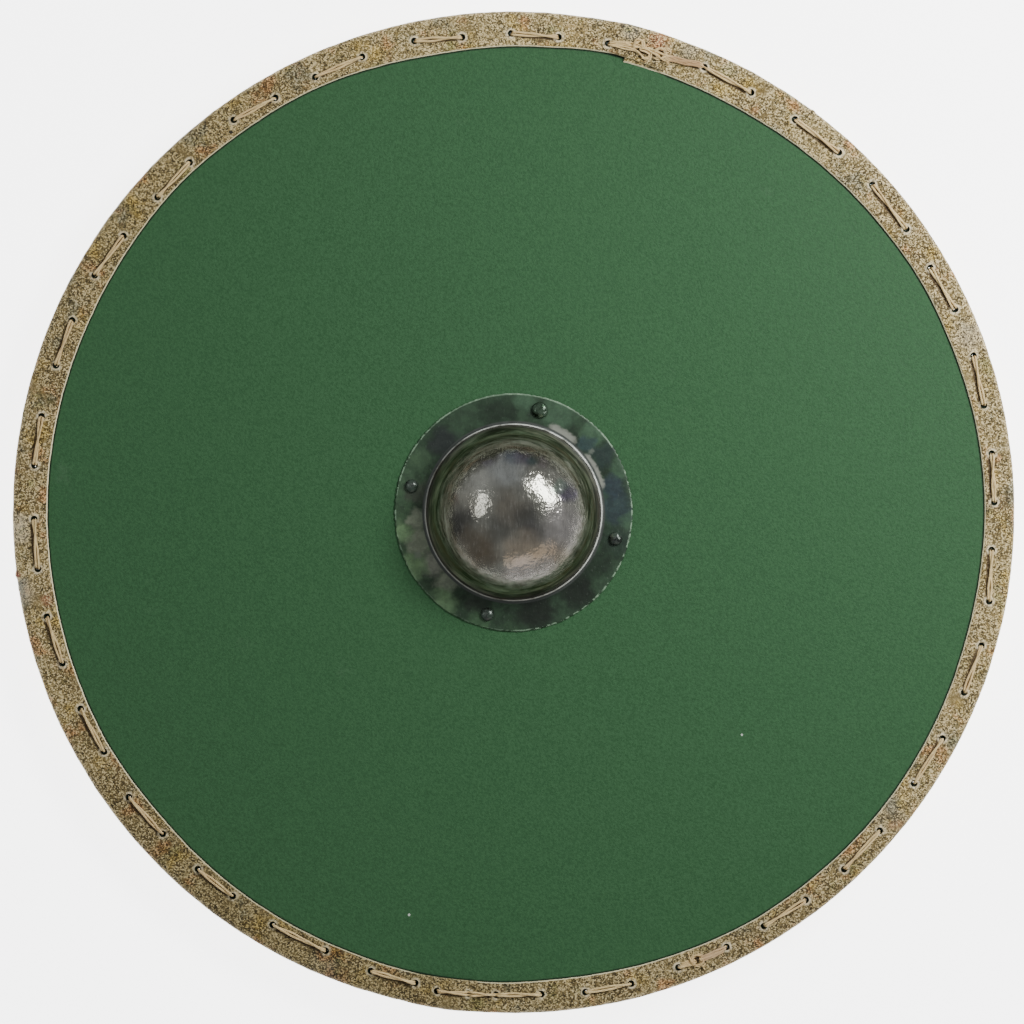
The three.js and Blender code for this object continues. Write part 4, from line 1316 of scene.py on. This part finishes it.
places[:, 2] += np.maximum(wave, -0.15) + np.minimum(crown * 2, 1) * blows * 0.5
move_corners(bm, places)
boss = finish_piece("steel_boss", bm, [steel], "boss", 50)
drilled(boss, rods(rivet_places.values(), rivet_bore))

# %% [markdown]
# ## Rivets and roves
#
# Four iron rivets hold the boss. Each has a hand-formed round head on the flange, and at the back its
# shank is hammered over a small square plate, the rove. The heads took paint with the flange. A rivet is
# turned like the rest, then knocked a little out of true, and a rove is a square plate with its edges
# bevelled and its hole drilled.

# %% Their material
iron = new_material("dark_iron")
where = here()
hammered = specks(0.003, 2.0)
paint = patches(0.008, 0.55, 0.1, (0.2, 0.4, 0.1))
colour = mix(hammered, (0.02, 0.023, 0.021), (0.11, 0.12, 0.11))
colour = mix(times(paint, 0.7), colour, (0.022, 0.045, 0.027))
upper = spot(where, 0.021, 0.0813, 0.012, 0.2)
above = span(add("SeparateXYZ", {"Vector": where}).outputs["Z"], 0.0285, 0.0295)
colour = mix(times(upper, above, 0.8), colour, (0.026, 0.052, 0.028))
feed("Base Color", colour)
feed("Metallic", span(paint, 0.0, 1.0, 1.0, 0.25))
feed("Roughness", span(hammered, 0.2, 0.8, 0.18, 0.36))
feed("Normal", bump(hammered, 0.0003, 0.5))

# %% Form the rivets and roves
head_radii = {"top": 6.6, "left": 5.3, "bottom": 5.3, "right": 5.3}
for number, (key, (x, y)) in enumerate(rivet_places.items()):
    through_grip = key in ("left", "right")
    rove_top = (grip_end_level - 0.3) if through_grip else (board_back - 0.3)
    rove_bottom = rove_top - rove_thickness
    head = head_radii[key]
    section = [(0.0, rivet_seat + 3.6)]
    for turn in np.radians(np.linspace(12, 90, 9)):
        section.append((head * math.sin(turn), rivet_seat + 0.5 + 3.1 * math.cos(turn)))
    section += [(head - 0.1, rivet_seat + 0.1), (head - 0.5, rivet_seat), (2.5, rivet_seat)]
    clench = rove_bottom - 0.3
    clenched = [(2.5, 0), (3.6, 0.1), (4.0, 0.5), (3.5, 1.1), (2.0, 1.5), (0.0, 1.6)]
    section += [(r, clench - down) for r, down in clenched]
    bm = turned(section, 1, 32, closed=False)
    places = corners(bm)
    knocks = 0.5 * lumps(places + (40 * number, 0, 0), 4.5, 3)
    out = places * (1, 1, 0) / np.maximum(np.hypot(places[:, 0], places[:, 1]), 2.6)[:, None]
    proud = places[:, 2] > rivet_seat + 0.3
    places += out * (knocks * proud)[:, None]
    places[:, 2] += 0.4 * knocks * proud
    move_corners(bm, places)
    bmesh.ops.translate(bm, verts=bm.verts, vec=(x, y, 0))
    finish_piece(f"rivet_{key}", bm, [iron], f"boss_rivet_{key}", 45)

    bm = bmesh.new()
    bmesh.ops.create_cube(bm, size=1.0)
    bmesh.ops.scale(bm, vec=(rove_side, rove_side, rove_thickness), verts=bm.verts)
    bevel = {"affect": "EDGES", "segments": 2, "profile": 0.5, "material": -1}
    bmesh.ops.bevel(bm, geom=bm.edges[:], offset=0.35, **bevel)
    square_on = Matrix.Rotation(math.radians(rivet_angles[key]), 3, "Z")
    bmesh.ops.rotate(bm, verts=bm.verts, cent=(0, 0, 0), matrix=square_on)
    bmesh.ops.translate(bm, verts=bm.verts, vec=(x, y, rove_bottom + rove_thickness / 2))
    rove = finish_piece(f"square_rove_{key}", bm, [iron], f"rove_{key}", 30)
    drilled(rove, rods([(x, y)], rivet_bore))

# %% [markdown]
# ## The grip
#
# The grip is one bar of ash across the hand hole, thick and round-shouldered where the fist closes and
# thin where the rivets hold it. It starts as a ring of points, extruded along the bar in short steps, and
# each ring is then set to the width and depth the bar has there. Its underside stays flat, because the
# shield lies on it.

# %% Shape the grip
ash_wood, ash_grain = (0.36, 0.20, 0.085), (0.20, 0.10, 0.042)
grip_wood = wood_material("grip_wood", ash_wood, ash_grain, rivet_angles["right"], 9.0, 0.5)
bm = bmesh.new()
ring_sides, ring_count, grip_length = 32, 92, 230.0
bmesh.ops.create_circle(bm, segments=ring_sides, radius=1.0, matrix=Matrix.Rotation(math.pi / 2, 4, "Y"))
bmesh.ops.translate(bm, verts=bm.verts, vec=(-grip_length / 2, 0, 0))
edges = bm.edges[:]
for _ in range(ring_count):
    grown = bmesh.ops.extrude_edge_only(bm, edges=edges)["geom"]
    moved = [item for item in grown if isinstance(item, bmesh.types.BMVert)]
    edges = [item for item in grown if isinstance(item, bmesh.types.BMEdge)]
    bmesh.ops.translate(bm, verts=moved, vec=(grip_length / ring_count, 0, 0))
bmesh.ops.holes_fill(bm, edges=[edge for edge in bm.edges if edge.is_boundary], sides=0)
places = corners(bm)
along = np.abs(places[:, 0])
depth = 18.0 - 10.0 * smooth_step((along - 62) / 12)
half_width = 15.0 + 3.0 * smooth_step((along - 20) / 70) - 1.2 * smooth_step((along - 111) / 4) ** 2
turn = np.arctan2(places[:, 2], places[:, 1])
square = 0.42 + 0.1 * smooth_step((62 - along) / 30)
y = half_width * np.sign(np.cos(turn)) * np.abs(np.cos(turn)) ** square
z = np.sign(np.sin(turn)) * np.abs(np.sin(turn)) ** square
bottom = 18.0 - depth
places[:, 1] = y
places[:, 2] = bottom + depth * (z + 1) / 2
hand_worn = 0.25 * lumps(places, 24, 21, 2) * (places[:, 2] > bottom + 1.5) * (places[:, 2] < 16.5)
places[:, 1] += hand_worn * np.sign(places[:, 1])
move_corners(bm, places)
bmesh.ops.recalc_face_normals(bm, faces=bm.faces)
to_rivets = Matrix.Rotation(math.radians(rivet_angles["right"]), 3, "Z")
bmesh.ops.rotate(bm, verts=bm.verts, cent=(0, 0, 0), matrix=to_rivets)
grip = finish_piece("ash_grip", bm, [grip_wood], "grip", 40)
drilled(grip, rods([rivet_places["left"], rivet_places["right"]], rivet_bore))

# %% [markdown]
# ## Floor, light and camera
#
# The shield lies on a plain pale floor, which gives off light under it, as a back-lit table does, so that
# it looks nearly white. The glow fades out a little way off, or the dome would mirror it as a bright ring.
# A strong soft box at the upper right and a weaker one at the upper left light the shield, and a dim warm
# card beyond the lower edge warms the dome's lower half. The camera looks straight down from 3 m.

# %% The floor
plain = {"Base_Color": (0.9, 0.9, 0.9, 1.0), "Roughness": 0.9, "Specular_IOR_Level": 0.1}
floor_material = new_material("pale_floor", Emission_Strength=4.6, **plain)
from_middle = add("VectorMath", {0: here()}, operation="LENGTH").outputs["Value"]
glow = span(from_middle, 0.95, 0.62, 0.06, 1.0)
feed("Emission Color", mix(glow, (0, 0, 0), (1, 1, 1)))
bm = bmesh.new()
bmesh.ops.create_grid(bm, x_segments=1, y_segments=1, size=4.0)
mesh = mesh_of("floor", bm)
mesh.materials.append(floor_material)
floor = new_object("floor", mesh)
floor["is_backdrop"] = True


# %% The lights
def soft_box(name, direction, distance, width, height, power, colour=(1.0, 1.0, 1.0)):
    """An area light that looks at the boss from a direction."""
    light = bpy.data.lights.new(name, "AREA")
    light.shape = "RECTANGLE"
    light.size, light.size_y = width, height
    light.energy = power
    light.color = colour
    lamp = new_object(name, light)
    direction = Vector(direction).normalized()
    lamp.location = direction * distance + Vector((0, 0, 0.06))
    lamp.rotation_euler = direction.to_track_quat("Z", "Y").to_euler()


soft_box("key_box", (0.607, 0.397, 0.689), 1.45, 0.85, 0.4, 28)
soft_box("fill_box", (-0.660, 0.150, 0.736), 1.55, 0.62, 0.3, 2.2)
soft_box("warm_card", (0.3, -0.86, 0.42), 1.7, 1.6, 0.5, 1.6, (1.0, 0.82, 0.68))
world = bpy.data.worlds.new("studio")
world.use_nodes = True
world.node_tree.nodes["Background"].inputs["Color"].default_value = (0.95, 0.97, 1.0, 1.0)
world.node_tree.nodes["Background"].inputs["Strength"].default_value = 0.45
bpy.context.scene.world = world

# %% The camera
camera = bpy.data.cameras.new("camera")
camera.sensor_width = 36
camera.lens = 132.3
eye = new_object("camera", camera)
eye.location = (-0.0013, 0.00026, 3.0296)
bpy.context.scene.camera = eye

# %% [markdown]
# ## Sizes and the end
#
# The difference between the dressed shield's box and the CAD model's box is printed, in millimetres.
# The dressed shield has to fill the same box as the CAD model.

# %% Measure and finish
low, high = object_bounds()
grown = [round(1000 * (b - a), 2) for a, b in zip((*cad_low, *high), (*low, *cad_high))]
print("difference from the CAD box in mm, low then high:", grown)
